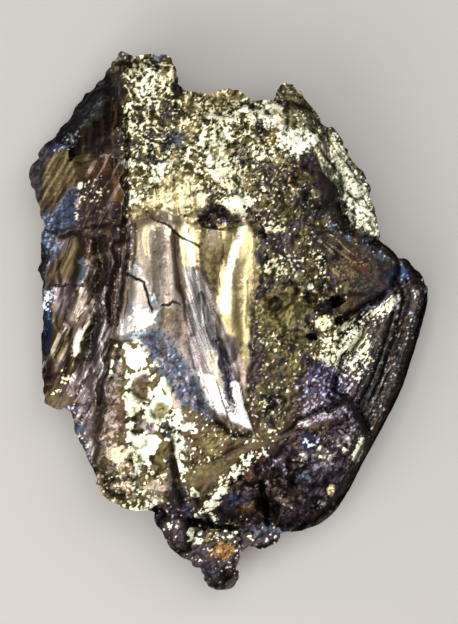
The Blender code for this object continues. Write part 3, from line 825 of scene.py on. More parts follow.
def evened(values):
    """Each value's rank among all of them, from 0 to 1."""
    rank = np.empty(values.size)
    rank[np.argsort(values, axis=None)] = np.linspace(0, 1, values.size)
    return rank.reshape(values.shape)


relief = top - softened(top, 0.3)
TEXTURES = {
    "blots": evened(fractal(X, Y, 2.2, 200)),
    "grains": evened(0.45 * medium_owner + 1.3 * fractal(X, Y, 0.75, 210, 3) - 1.0 * relief),
    "bits": evened(0.7 * fine_owner + fractal(X, Y, 0.3, 220, 2) - 0.6 * relief),
    # Fine specks: dark grains in dark coats, painted glints in pale coats.
    "dust_and_glints": evened(blurred(np.random.default_rng(230).random(X.shape), 0.075)),
    "web": evened(np.abs(2 * fractal(X, Y, 0.7, 240, 2) - 1) + 0.2 * fractal(X, Y, 0.25, 244, 2)),
    "upright": evened(streaks(91, 0.4, 5, 250) + 0.25 * fractal(X, Y, 0.3, 252, 2)),
    "level": evened(streaks(2, 0.22, 2.5, 254)),
    "steep": evened(streaks(60, 0.24, 8, 256)),
    "slant": evened(streaks(-52, 0.32, 2.6, 258) + 0.3 * fractal(X, Y, 0.35, 260, 2)),
    "corner": evened(streaks(-40, 0.25, 5, 262)),
    "edgewise": evened(streaks(66, 0.3, 6, 264)),
    "striae": evened(streaks(110, 0.18, 7, 266)),
    "rising": evened(streaks(42, 0.3, 3, 268) + 0.3 * fractal(X, Y, 0.35, 270, 2)),
    # Coarser specks: dark grains in dark coats, painted glints in pale coats.
    "grit_and_glints": evened(blurred(np.random.default_rng(232).random(X.shape), 0.065)),
}
tint = np.zeros(X.shape + (3,))
EDGE = 0.025


def paint(shape, *coats):
    """Puts coats on one shape, each given as a colour, its strength, and maybe a texture and cover.

    With a texture it goes only where the shape's share of the cover passes the chance.
    """
    for name, strength, *chance in coats:
        mask = shape
        if chance:
            texture, cover = chance
            mask = smooth(cover * shape - TEXTURES[texture], -EDGE, EDGE) * smooth(shape, 0, 0.1)
        tint[:] = blend(tint, np.array(COLOURS[name]), (strength * mask)[..., None])


def dab(*rows):
    """Puts one coat each on ellipses: a row is a coat and then the ellipse's numbers."""
    for *coat, ellipse in rows:
        paint(spot(*ellipse), coat)


def print_tint():
    """Prints the mean red, green and blue of what has been painted so far."""
    print("mean tint:", np.round(tint[inside].mean(0), 3))


everywhere = np.ones(X.shape)
paint(everywhere, ("brown", 1), ("char", 0.9, "grains", 0.45), ("soot", 0.8, "bits", 0.2))
print("textures:", list(TEXTURES))

# %% [markdown]
# ## The dark flank and the long folds
#
# The left side is a flat cleavage face, red-brown, with fine level lines and an amber streak at
# its right. Its upper edge is a charcoal rim with blue tarnish. Below it the mineral is drawn out
# in long upright folds, some gilded, some blue, with purple-black crevices between them. One of
# them gets a painted highlight, lemon and white along its crest.

# %% Coats on the left
flank, folds = ZONES["flank"], ZONES["folds"]
paint(
    flank, ("rust", 0.8), ("char", 0.8, "level", 0.6), ("soot", 0.8, "blots", 0.35),
    ("brown", 0.7, "upright", 0.25),
)
dab(("olive", 0.8, "level", 0.7, (-13.9, 15.7, 1.4, 1.2)))
rim = [(-11.4, 25.2), (-13.6, 23.8), (-15.8, 20.8), (-18.0, 17.8), (-19.8, 15.2), (-20.0, 13.0)]
inner_rim = [(-12.8, 23.4), (-14.6, 21.2), (-16.4, 18.6)]
dab(("teal", 0.6, "bits", 0.6, (-13.8, 21.2, 1.0, 1.8, -30)))
paint(line(inner_rim, 1.5, 0.7), ("steel", 0.7, "dust_and_glints", 0.34))
paint(line(rim, 1.6, 0.3), ("char", 0.95))
paint(line(rim, 1.7, 0.4), ("slate", 0.7, "bits", 0.3))
paint(line(rim, 1.4, 0.4), ("plum", 0.6, "blots", 0.4))
paint(spot(-16.0, 17.9, 1.6, 0.8, 45), ("steel", 0.8, "bits", 0.3), ("ice", 0.6, "dust_and_glints", 0.1))
dab(("navy", 0.8, "grains", 0.5, (-17.0, 18.2, 1.4, 0.7, 45)))
paint(line([(-11.1, 21.4), (-10.9, 9.4)], 0.5), ("amber", 0.45, "upright", 0.7))
paint(line([(-10.5, 22.5), (-10.4, 10.0)], 0.4), ("brown", 0.9, "bits", 0.8))
paint(line([(-12.4, 16.4), (-10.8, 15.8)], 0.5), ("bronze", 0.6, "dust_and_glints", 0.25))

striated = zone([(-18.7, 13.0), (-18.2, 16.0), (-16.4, 17.2), (-15.4, 17.0), (-15.1, 14.6)]
                + [(-16.2, 11.6), (-17.2, 10.6), (-18.4, 11.2)], ragged=0.3)
facet = zone([(-18.0, 8.8), (-17.5, 10.8), (-16.4, 12.4), (-15.3, 13.6), (-14.9, 12.0)]
             + [(-14.9, 8.6), (-16.4, 6.4)], ragged=0.3)
paint(
    striated, ("brown", 1), ("moss", 0.6, "steep", 0.6), ("gold", 0.12, "steep", 0.3),
    ("char", 0.5, "dust_and_glints", 0.2),
)
paint(
    zone([(-18.4, 11.4), (-16.0, 14.2), (-16.2, 11.2), (-17.8, 9.4)]), ("char", 0.9, "steep", 0.6),
)
paint(
    facet, ("slate", 1), ("char", 0.8, "bits", 0.4), ("steel", 0.35, "dust_and_glints", 0.4),
    ("navy", 0.6, "grains", 0.4),
)
paint(line([(-15.0, 13.2), (-14.9, 8.8)], 0.35), ("rose", 0.7, "bits", 0.6))
dab(
    ("mint", 1, "bits", 0.6, (-15.0, 10.5, 0.35, 0.7)), ("mint", 1, (-14.7, 13.5, 0.3, 0.4)),
    ("soot", 1, (-15.5, 16.7, 0.25, 0.5)),
)
paint(
    zone([(-13.6, 16.0), (-10.6, 16.2), (-10.4, 11.8), (-13.8, 11.4)]),
    ("bronze", 0.6, "steep", 0.2),
)
dab(
    ("cream", 1, "bits", 0.35, (-13.0, 12.5, 1.0, 0.8)),
    ("cream", 0.9, "dust_and_glints", 0.04, (-13.4, 12.6, 2.0, 1.6)),
)

lower_flank = zone([(-14.6, 11.6), (-10.2, 11.6), (-10.2, 5.6), (-14.4, 6.2)])
paint(
    lower_flank, ("brown", 0.8), ("plum", 0.8, "upright", 0.5), ("soot", 0.6, "level", 0.25),
    ("mauve", 0.5, "steep", 0.15), ("bronze", 0.7, "dust_and_glints", 0.06),
)
print_tint()

# %% Coats on the folds
paint(
    folds, ("brown", 0.8), ("char", 0.7, "steep", 0.35), ("olive", 0.6, "grains", 0.3),
    ("mauve", 0.5, "steep", 0.2),
)
ochre = zone([(-15.6, 8.4), (-14.2, 8.2), (-13.8, 3.8), (-17.4, 3.6)], ragged=0.3)
paint(ochre, ("moss", 0.4), ("brown", 0.8, "steep", 0.45))
dab(
    ("moss", 0.6, "bits", 0.7, (-15.2, 7.2, 0.6, 1.3, -10)),
    ("steel", 0.85, "bits", 0.75, (-14.5, 5.0, 0.7, 1.5)),
    ("silver", 0.6, "bits", 0.5, (-14.3, 3.4, 0.5, 1.0)),
)
dark_block = zone([(-14.4, 9.0), (-11.8, 9.0), (-11.5, 3.8), (-13.9, 3.8)], ragged=0.2)
paint(dark_block, ("brown", 1), ("mauve", 0.6, "dust_and_glints", 0.26), ("bronze", 0.7, "grit_and_glints", 0.07))
paint(line([(-13.4, 6.4), (-11.9, 6.7), (-11.8, 4.2)], 0.25), ("bronze", 0.9))
dab(
    ("mauve", 0.75, (-16.4, 2.4, 1.2, 1.7)),
    ("bronze", 0.8, "steep", 0.65, (-14.6, 1.0, 1.4, 2.8, -25)),
    ("rose", 0.6, "dust_and_glints", 0.12, (-14.6, 1.2, 1.4, 2.4, -25)),
    ("moss", 0.8, "grains", 0.5, (-15.6, -2.6, 2.0, 2.2)),
    ("bronze", 0.7, "steep", 0.35, (-16.6, -3.4, 1.8, 2.8)), ("moss", 0.9, (-14.2, -3.0, 0.7, 1.0)),
    ("silver", 0.5, "steep", 0.3, (-13.8, -1.0, 1.2, 3.0, -25)),
    ("bronze", 0.8, "steep", 0.4, (-14.2, -0.6, 1.5, 1.9, -25)),
    ("rose", 0.6, "rising", 0.3, (-13.6, -0.2, 1.6, 1.8, -25)),
    ("bronze", 0.6, "grit_and_glints", 0.22, (-13.9, 4.6, 1.5, 1.6)),
)
# Painted highlight: cream along the fold's crest, and a lemon and white streak where it catches the
# light.
paint(line(FOLDS[2][2], 0.25), ("cream", 0.7, "steep", 0.75))
dab(
    ("lemon", 0.7, "bits", 0.7, (-15.1, -2.0, 0.7, 1.3, -15)),
    ("white", 1, (-15.1, -2.0, 0.35, 1.2, -8)),
)
shadow = [(-12.3, 2.4), (-13.6, -2.6), (-13.4, -6.4)]
paint(line(shadow, 1.1), ("plum", 0.8, "steep", 0.55))
paint(line(shadow, 1.2), ("mauve", 0.9, "bits", 0.35))
paint(line(shadow, 1.1), ("silver", 0.6, "dust_and_glints", 0.12))
paint(line(shadow, 1.0), ("navy", 0.7, "bits", 0.15))

print_tint()

# %% Coats on the left edge and in the crevice
edge_band = [(-18.9, 9.2), (-18.9, -2.6)]
paint(line(edge_band, 1.4, 0.5), ("char", 0.85))
upper_band = line([(-18.2, 9.8), (-17.8, 7.0)], 1.5, 0.5)
paint(
    upper_band, ("slate", 0.7, "grains", 0.8), ("navy", 0.8, "bits", 0.3),
    ("char", 0.85, "grit_and_glints", 0.3), ("steel", 0.7, "dust_and_glints", 0.16),
)
paint(line([(-18.6, 1.0), (-18.5, -2.4)], 1.2, 0.5), ("navy", 1, "grains", 0.9))
paint(line(edge_band, 1.3, 0.5), ("steel", 0.8, "dust_and_glints", 0.12))
dab(
    ("ice", 0.85, "bits", 0.5, (-18.0, 2.3, 0.9, 1.1)),
    ("lilac", 0.6, "bits", 0.4, (-17.4, 2.8, 0.8, 0.8)),
)
crevice = [(-10.2, 8.8), (-10.8, 4.2), (-11.3, 0.4), (-11.8, -2.0)]
paint(line(crevice, 1.5, 0.5), ("plum", 0.95, "upright", 0.85))
paint(line([(-11.2, 6.4), (-11.4, 2.6), (-11.6, -1.0)], 0.5), ("mauve", 0.8, "upright", 0.6))
side_fold = [(-11.0, -0.4), (-11.8, -3.4), (-12.8, -8.2), (-12.9, -12.2)]
paint(line(side_fold, 1.9, 0.5), ("mauve", 0.9), ("plum", 0.8, "steep", 0.35))
paint(line(side_fold, 1.5, 0.5), ("rose", 0.8, "steep", 0.3))
paint(line([(-11.4, -1.0), (-12.8, -4.4)], 1.0), ("silver", 0.8, "steep", 0.35))
paint(line([(-12.2, -3.6), (-13.6, -9.0)], 1.2), ("rose", 0.7, "bits", 0.3))
paint(line([(-12.2, -6.0), (-12.8, -12.6)], 1.1), ("bronze", 0.8, "upright", 0.6))
dab(
    ("brown", 0.9, (-17.4, -6.4, 1.6, 2.4)), ("char", 0.8, "bits", 0.5, (-17.4, -6.0, 1.8, 2.8)),
    ("olive", 0.7, "grains", 0.6, (-17.2, -7.4, 1.4, 1.2)),
    ("cream", 1, "bits", 0.5, (-16.2, -5.3, 0.9, 0.8)),
)
paint(line([(-17.6, -7.1), (-16.8, -6.8)], 0.25), ("cream", 1, "bits", 0.6))
dab(
    ("plum", 1, "grains", 0.7, (-14.7, -7.4, 1.2, 2.0)),
    ("mauve", 0.7, "steep", 0.5, (-14.4, -6.6, 1.6, 2.2)),
    ("silver", 0.8, "bits", 0.3, (-14.6, -7.2, 1.8, 2.8)),
)
paint(
    line([(-15.6, -9.0), (-13.6, -15.0)], 1.0), ("slate", 0.9, "grains", 0.7),
    ("silver", 0.8, "dust_and_glints", 0.14),
)
print_tint()

# %% [markdown]
# ## The crust
#
# The crest is a crust of brassy grains in a dark matrix: a looping web of cream metal round black
# and olive grains, with a few clean smooth patches of mint white. The cream and mint are partly
# painted reflection, the glare of the lamps on grains that face them. In its lower middle is a pit
# with purple tarnish.

# %% Coats on the crest
crest = ZONES["crust"]
paint(
    crest, ("olive", 0.9), ("char", 0.95, "grains", 0.42), ("moss", 0.8, "blots", 0.3),
    ("cream", 1, "web", 0.22), ("mint", 1, "bits", 0.2), ("soot", 0.9, "dust_and_glints", 0.14),
)
dab(("cream", 1, "web", 0.3, (-8.3, 24.4, 3.4, 3.2)))
paint(
    zone([(-12.6, 26.0), (-10.4, 26.2), (-10.2, 24.2), (-12.6, 24.0)]),
    ("char", 0.95, "grains", 0.75),
)
dab(
    ("char", 0.9, "grains", 0.72, (-8.2, 17.6, 2.6, 2.4)),
    ("cream", 0.9, "web", 0.1, (-8.2, 18.6, 2.4, 2.6)),
    ("mint", 0.95, "bits", 0.55, (-7.6, 23.2, 1.3, 1.8, -20)),
    ("char", 0.9, "bits", 0.8, (-10.3, 26.6, 0.8, 0.8)),
    ("slate", 0.9, "bits", 0.9, (-6.9, 26.2, 1.0, 0.5)),
    ("cream", 1, "web", 0.45, (-5.0, 23.2, 1.8, 1.8)),
    ("cream", 0.95, "web", 0.4, (-8.0, 20.4, 2.2, 1.6)),
    ("char", 0.95, "bits", 0.6, (-5.6, 20.4, 1.4, 1.2)), ("slate", 0.95, (-5.3, 17.5, 1.0, 0.9)),
    ("soot", 0.95, (-6.0, 17.2, 0.5, 0.8)), ("rose", 0.8, "bits", 0.6, (-6.4, 18.0, 0.4, 0.9)),
)
paint(line([(-10.0, 15.8), (-5.4, 15.9)], 0.3, 0.6), ("soot", 0.6))
for x, y, rx, ry, cover in [
    (-10.0, 15.4, 0.7, 0.5, 0.7), (-6.7, 15.2, 1.2, 1.0, 0.6), (-7.0, 13.8, 0.9, 1.0, 0.5),
    (-4.2, 13.4, 1.4, 0.9, 0.65), (-9.2, 11.8, 0.8, 1.0, 0.5), (0.0, 20.2, 2.4, 0.8, 0.6),
    (4.4, 20.3, 1.4, 1.3, 0.6), (1.0, 13.2, 1.5, 1.1, 0.45), (0.9, 11.3, 1.3, 1.3, 0.8),
    (-3.2, 21.6, 1.6, 0.8, 0.4), (-2.4, 17.9, 0.9, 1.2, 0.5), (2.9, 21.8, 1.5, 0.8, 0.4),
    (2.4, 15.8, 1.4, 1.2, 0.4), (6.6, 17.2, 1.8, 1.6, 0.65), (3.0, 20.4, 3.0, 1.6, 0.5),
    (4.6, 16.6, 1.5, 1.3, 0.45), (1.2, 11.4, 2.0, 2.0, 0.65),
]:
    paint(spot(x, y, rx, ry), ("mint", 1, "bits", cover))
dab(
    ("gold", 0.85, (-4.8, 11.8, 2.3, 2.5)), ("lemon", 0.8, "upright", 0.55, (-4.8, 11.6, 2.3, 2.5)),
    ("mint", 1, "bits", 0.85, (-1.1, 15.8, 1.2, 2.6, 8)),
    ("mint", 1, "bits", 0.8, (-0.5, 18.1, 1.2, 0.8)),
    ("cream", 0.9, "grains", 0.6, (-0.4, 14.0, 1.7, 1.1)), ("moss", 0.95, (-1.4, 16.5, 0.5, 0.6)),
    ("olive", 0.8, "bits", 0.5, (0.2, 12.9, 1.6, 0.7)),
)
paint(spot(0.9, 16.2, 1.2, 1.2), ("char", 0.95, "bits", 0.75), ("lilac", 0.7, "dust_and_glints", 0.2))
dab(
    ("brown", 0.95, (3.3, 18.4, 1.1, 1.2)), ("char", 0.9, "grains", 0.5, (3.4, 18.4, 1.1, 1.2)),
    ("amber", 0.7, "bits", 0.35, (4.0, 18.0, 0.8, 1.3)),
    ("lilac", 0.6, "bits", 0.55, (5.8, 18.6, 1.2, 1.5)),
)
paint(spot(0.4, 22.6, 1.6, 0.8), ("olive", 0.9, "bits", 0.5), ("amber", 0.7, "dust_and_glints", 0.2))
dab(("gold", 0.8, "bits", 0.5, (-1.6, 22.6, 1.4, 0.8)))
paint(spot(-1.8, 12.4, 1.3, 0.9), ("char", 0.95, "bits", 0.65), ("lilac", 0.7, "dust_and_glints", 0.18))
dab(("plum", 1, (-1.5, 10.1, 1.9, 1.2)), ("soot", 0.9, "grains", 0.5, (-1.5, 9.9, 1.8, 1.0)))
paint(spot(-1.2, 10.2, 2.1, 1.2), ("mauve", 0.8, "grit_and_glints", 0.3), ("lilac", 0.85, "bits", 0.32))

print_tint()

# %% Finer coats on the crest
paint(crest, ("cream", 0.9, "grit_and_glints", 0.05))
dab(("cream", 0.8, "grit_and_glints", 0.16, (1.8, 18.8, 6.4, 4.2)))
paint(crest, ("olive", 0.8, "dust_and_glints", 0.12))
dab(
    ("char", 0.9, "grains", 0.62, (-7.6, 17.4, 3.0, 1.9)),
    ("cream", 0.9, "web", 0.08, (-8.2, 18.6, 2.4, 2.6)),
)
paint(
    zone([(-12.8, 27.8), (-10.2, 27.8), (-9.8, 24.2), (-12.8, 24.0)]), ("char", 0.9, "grains", 0.8),
)
paint(line([(-10.9, 19.4), (-10.7, 15.4)], 1.0, 0.6), ("char", 0.85, "bits", 0.5))
dab(
    ("mint", 0.9, "bits", 0.55, (4.4, 20.8, 1.7, 1.5)),
    ("silver", 0.7, "grains", 0.6, (5.0, 19.2, 1.6, 2.0)),
    ("lemon", 0.8, "bits", 0.2, (5.0, 18.8, 1.5, 1.6)),
    ("mint", 0.9, "bits", 0.4, (2.2, 20.6, 1.6, 1.0)),
)
for ellipse in [(-1.8, 20.3, 1.9, 1.6), (-1.8, 14.4, 1.7, 1.7), (-5.2, 23.2, 1.6, 1.9),
                (4.2, 19.9, 1.8, 1.6)]:
    dab(("cream", 0.9, "bits", 0.36, ellipse))
dab(
    ("mint", 0.9, "grit_and_glints", 0.3, (4.0, 20.2, 1.7, 1.5)),
    ("cream", 0.9, "grit_and_glints", 0.2, (-0.4, 20.4, 3.0, 1.4)),
)
paint(crest, ("gold", 0.7, "blots", 0.05), ("gold", 0.6, "grit_and_glints", 0.09))

peak = zone([(4.4, 21.6), (5.0, 23.6), (6.2, 24.4), (7.2, 23.8), (8.4, 20.6), (6.4, 20.6)])
paint(peak, ("olive", 0.9), ("lemon", 0.8, "slant", 0.4), ("char", 0.9, "slant", 0.28))

grainy_slope = zone([(1.6, 15.4), (6.6, 16.6), (10.6, 9.6), (7.2, 6.6), (2.4, 8.4), (1.4, 12.0)])
paint(
    grainy_slope, ("olive", 0.85), ("char", 0.9, "grains", 0.5), ("plum", 0.8, "blots", 0.3),
    ("moss", 0.7, "bits", 0.2), ("cream", 0.95, "dust_and_glints", 0.05),
)
paint(spot(3.4, 14.0, 2.6, 2.4), ("cream", 0.95, "bits", 0.26), ("moss", 0.8, "grit_and_glints", 0.25))
paint(line([(0.4, 12.4), (1.5, 10.4), (2.3, 8.4)], 1.3, 0.6), ("cream", 0.95, "bits", 0.65))
paint(line([(1.2, 10.8), (2.0, 8.6), (2.6, 6.6)], 0.7), ("rose", 0.9, "bits", 0.6))
dab(
    ("gold", 0.9, "grains", 0.4, (3.8, 8.6, 1.8, 1.8)),
    ("cream", 0.95, "bits", 0.5, (4.1, 7.4, 2.0, 2.4, -25)),
    ("mint", 1, "bits", 0.75, (0.9, 11.8, 1.5, 1.4)),
    ("cream", 0.9, "grit_and_glints", 0.26, (4.1, 8.2, 1.7, 1.6)),
)
print_tint()

# %% [markdown]
# ## The pale sheet and the right corner
#
# Behind the crest's right end a pale sheet slopes away, mint and cream with slanting dark flecks
# and a brown edge; its mint is partly painted reflection of the lamps on its slope. A cliff painted
# in shadow parts it from the crust. Below the sheet is the dark red-brown right corner, ribbed at a
# slant, with blue tarnish at its tip.

# %% Coats on the upper right
pale = zone([(5.4, 20.6), (8.0, 20.8), (11.6, 17.4), (14.4, 13.0), (15.6, 8.2), (13.6, 7.6)]
            + [(11.4, 9.6), (10.4, 13.8), (8.4, 16.8), (5.6, 17.6)])
# The mint coat is partly painted reflection: the sheet's slope catches the lamps.
paint(
    pale, ("moss", 0.7), ("mint", 0.9, "slant", 0.82), ("char", 0.8, "bits", 0.12),
    ("moss", 0.85, "grit_and_glints", 0.2), ("char", 0.75, "dust_and_glints", 0.06),
)
dab(
    ("olive", 0.9, "slant", 0.65, (7.2, 20.2, 2.0, 1.7)),
    ("char", 0.9, "bits", 0.3, (7.2, 20.4, 1.9, 1.5)),
    ("white", 0.9, "bits", 0.6, (6.6, 17.2, 1.6, 0.8, -20)),
    ("moss", 0.8, "bits", 0.5, (14.2, 9.6, 0.8, 1.2)),
)
paint(
    line([(8.9, 20.6), (12.0, 17.2), (14.4, 13.2), (15.5, 8.6)], 0.8),
    ("brown", 0.95, "slant", 0.6),
)
paint(line([(8.9, 20.8), (12.2, 17.3), (14.6, 13.2)], 0.6), ("char", 0.9, "bits", 0.6))
sheet_edge = line([(12.4, 16.4), (14.2, 13.2), (15.3, 9.2)], 1.0, 0.6)
paint(sheet_edge, ("olive", 0.9, "bits", 0.75), ("char", 0.8, "grit_and_glints", 0.3))
# Painted shadow: the cliff between crust and sheet is painted near-black, flecked with moss and
# plum.
drop = [(7.7, 15.6), (9.2, 13.2), (10.4, 10.6), (10.9, 8.8)]
paint(line(drop, 1.2, 0.6), ("char", 0.95), ("moss", 0.6, "dust_and_glints", 0.3), ("plum", 0.9, "blots", 0.5))
dab(("amber", 0.5, "bits", 0.3, (6.3, 14.8, 1.0, 1.8)))

corner = ZONES["corner"]
paint(corner, ("brown", 0.95), ("char", 0.9, "grains", 0.45), ("char", 0.8, "corner", 0.4))
dab(("rust", 0.7, "corner", 0.5, (13.4, 5.6, 2.4, 1.4, -30)))
paint(corner, ("soot", 0.6, "bits", 0.42), ("gold", 0.7, "corner", 0.05))
violet_band = [(9.6, 10.0), (13.0, 8.0), (16.8, 6.2)]
paint(
    zone([(6.4, 12.8), (10.4, 13.0), (14.6, 8.4), (10.2, 6.6), (6.2, 9.0)]),
    ("char", 0.9, "grains", 0.6),
)
paint(line(violet_band, 1.1, 0.5), ("slate", 0.8, "grains", 0.5))
paint(line(violet_band, 0.8, 0.5), ("silver", 0.85, "dust_and_glints", 0.07))
paint(
    zone([(12.4, 1.0), (14.4, 2.4), (15.8, 5.0), (17.0, 5.8), (18.8, 4.4), (17.2, 2.2)]),
    ("navy", 0.9),
)
dab(
    ("teal", 0.7, "bits", 0.4, (16.4, 4.0, 1.6, 1.2, 30)),
    ("steel", 0.8, "bits", 0.25, (17.2, 3.8, 1.5, 1.2, 30)),
    ("silver", 0.9, "dust_and_glints", 0.1, (17.8, 2.8, 1.6, 1.6)),
    ("char", 0.75, "bits", 0.42, (14.0, 4.0, 2.4, 2.0)),
    ("moss", 0.7, "grit_and_glints", 0.25, (11.4, 4.6, 2.6, 1.8)),
    ("gold", 0.6, "dust_and_glints", 0.035, (12.0, 4.6, 3.4, 2.4)), ("char", 0.65, (14.4, 3.7, 2.4, 1.9)),
    ("rust", 0.5, "corner", 0.2, (13.2, 4.6, 2.6, 1.6, -30)),
)
print_tint()

# %% [markdown]
# ## The folded sheet
#
# The smooth middle is one bent sheet, like foil. Its left half is a mauve bronze with soft upright
# streaks and hair cracks, and its right half is gilded. Two folds get a painted highlight, nearly
# white, its left half a painted blue-white glow, and painted shade darkens a valley and the hollow
# between the folds. The sheet's lower end thins out to a silvery wedge with fine ribs, beside a
# slate-blue band.

# %% Coats on the middle
sheet, wedge = ZONES["sheet"], ZONES["wedge"]
gilded = zone([(-5.2, 9.6), (3.2, 9.6), (2.6, 2.0), (1.6, -3.6), (-0.6, -1.6), (-3.4, 3.4)])
paint(sheet, ("bronze", 1), ("mauve", 0.4, "upright", 0.3))
paint(zone([(-10.2, 8.6), (-5.0, 8.6), (-4.8, 1.0), (-10.6, 3.0)]), ("putty", 0.7))
paint(zone([(-9.8, 9.4), (-5.0, 8.8), (-4.6, 1.0), (-6.6, -1.6), (-10.2, 3.0)]), ("brown", 0.35))
paint(
    sheet, ("bronze", 0.6, "grains", 0.3), ("rose", 0.35, "upright", 0.2),
    ("brown", 0.5, "bits", 0.16), ("silver", 0.5, "grit_and_glints", 0.03), ("char", 0.6, "dust_and_glints", 0.04),
)
paint(zone([(-10.0, 12.4), (-5.6, 10.6), (-5.0, 8.6), (-9.6, 8.8)]), ("cream", 0.8, "bits", 0.35))
dab(("gold", 0.6, "upright", 0.3, (-8.4, 8.6, 1.8, 2.4)))
paint(gilded, ("gold", 0.9))
# Painted shade: olive, brown and plum dabs darken the hollow between the two folds.
dab(
    ("olive", 0.85, "upright", 0.85, (-1.8, 5.8, 1.3, 4.0)),
    ("brown", 0.8, "bits", 0.5, (-1.8, 6.9, 1.4, 3.4)),
    ("mauve", 0.6, "bits", 0.5, (-1.4, 8.2, 1.0, 1.1)),
    ("plum", 0.8, "bits", 0.6, (-2.2, 3.6, 1.0, 1.6, 10)),
)
# Painted shade: brown along the valley of this crack.
paint(line(CRACKS[5][2][:3], 0.7, ragged=0.3), ("brown", 0.85))
paint(line(CRACKS[5][2][2:], 0.4, ragged=0.3), ("brown", 0.85))
# Painted highlight on the narrow fold: lemon along it and white at its crest.
paint(line(FOLDS[1][2] + [(-3.3, 2.8)], 1.0, 0.6), ("lemon", 0.9, "upright", 0.85))
paint(line(FOLDS[1][2], 0.5, 0.6), ("white", 0.8, "bits", 0.85))
paint(line([(-4.0, 5.0), (-3.4, 2.6), (-3.0, 0.6)], 0.6), ("silver", 0.8, "striae", 0.6))
fold_highlight = [(1.3, 9.0), (0.3, 6.4), (-0.2, 4.4), (-0.5, 1.4)]
paint(
    line([(1.6, 9.2), (0.7, 6.0), (0.5, 2.2), (0.9, -0.6)], 1.6, 0.5),
    ("gold", 0.8, "upright", 0.6),
)
# Painted highlight on the bright fold: lemon, white and gold along the line where it reflects the
# lamps.
paint(line(fold_highlight, 1.0, 0.6), ("lemon", 0.8, "upright", 0.8))
paint(line(fold_highlight, 0.5, 0.6), ("white", 0.9))
paint(line(fold_highlight, 1.0, 0.6), ("gold", 0.6, "bits", 0.22))
dab(
    ("moss", 0.7, "bits", 0.6, (1.5, -3.4, 1.4, 1.7)),
    ("lemon", 0.6, "bits", 0.55, (1.0, 2.4, 0.9, 2.2)),
)
paint(line([(2.8, 8.0), (2.3, 4.0), (2.2, 0.0)], 0.9, 0.5), ("moss", 0.8, "upright", 0.6))
paint(line([(3.0, 8.0), (2.6, 4.0), (2.4, 0.0)], 0.7, 0.5), ("olive", 0.8, "bits", 0.5))
# Painted highlight: an ice-blue streak that runs into the glow below.
paint(line([(-9.2, 5.2), (-7.9, 3.2), (-7.3, 1.0)], 0.7), ("ice", 0.8, "bits", 0.5))
dab(
    ("teal", 0.4, "bits", 0.6, (-7.1, 2.4, 0.5, 1.0)), ("rose", 0.5, (-9.1, 2.8, 0.8, 1.5, -15)),
    ("putty", 0.6, (-9.4, 3.0, 1.5, 2.4)),
)
paint(line([(-11.0, 9.0), (-11.0, 4.0)], 0.9, 0.5), ("plum", 0.7, "upright", 0.6))
# Painted highlight: the first four dabs make a blue-white glow, ice and white ringed with steel and
# slate.
dab(
    ("steel", 0.7, "bits", 0.45, (-8.6, 0.6, 2.0, 2.0)),
    ("ice", 0.9, "bits", 0.72, (-8.4, -0.2, 1.8, 1.6)),
    ("slate", 0.5, "bits", 0.3, (-8.4, -1.0, 1.8, 1.0)), ("white", 1, (-8.4, 0.2, 0.6, 0.8)),
    ("silver", 0.8, "upright", 0.7, (-10.6, -0.6, 0.9, 1.6)),
)
beside = [(-10.1, 9.4), (-10.3, 6.0), (-10.8, 3.0), (-11.4, 0.4)]
paint(line(beside, 1.3, 0.6), ("brown", 0.85, "upright", 0.75))
paint(line(beside, 1.1, 0.6), ("plum", 0.9, "bits", 0.5))
paint(line(beside, 1.0, 0.6), ("rose", 0.7, "grit_and_glints", 0.1))
dab(
    ("olive", 0.75, "bits", 0.85, (-6.1, 0.2, 1.3, 1.1)), ("putty", 0.8, (-5.6, -1.8, 1.0, 1.6)),
    ("mauve", 0.8, "bits", 0.5, (-4.6, -1.2, 1.0, 2.0, 10)),
    ("brown", 0.6, "grit_and_glints", 0.2, (-5.0, -0.8, 1.8, 2.2)), ("brown", 0.45, (-5.0, -0.8, 1.8, 1.8)),
)
print_tint()

# %% Coats on the wedge and in the cracks
paint(wedge, ("mauve", 0.9), ("silver", 0.7, "striae", 0.45), ("char", 0.6, "striae", 0.12))
wedge_end = zone([(-4.0, -4.6), (-1.4, -5.2), (0.2, -7.6), (1.9, -8.6), (2.2, -11.2)]
                 + [(-0.4, -10.8), (-3.2, -8.2)])
paint(wedge_end, ("white", 0.95, "striae", 0.74))
paint(line([(-2.0, -3.2), (-0.6, -6.0)], 0.6), ("lemon", 0.5, "striae", 0.4))
paint(line(CRACKS[8][2], 0.8, 0.6), ("indigo", 0.8, "bits", 0.7))
paint(line([(-2.6, 2.4), (-1.4, -1.4), (-0.2, -4.4)], 0.7), ("char", 0.8, "striae", 0.6))
paint(line(FOLDS[4][2], 0.6), ("white", 0.9, "bits", 0.8))
for _, width, points in CRACKS[:3]:
    paint(line(points, width, 0.8, ragged=0.5), ("soot", 0.9))
print_tint()

# %% [markdown]
# ## The olive slope and the right plate
#
# Right of the fold lies a slope of olive-brown grains with one smooth green facet. The large
# plate beyond it is nearly black, lined along its edge, with patches of indigo and a chain of
# cream patches along its upper rim.

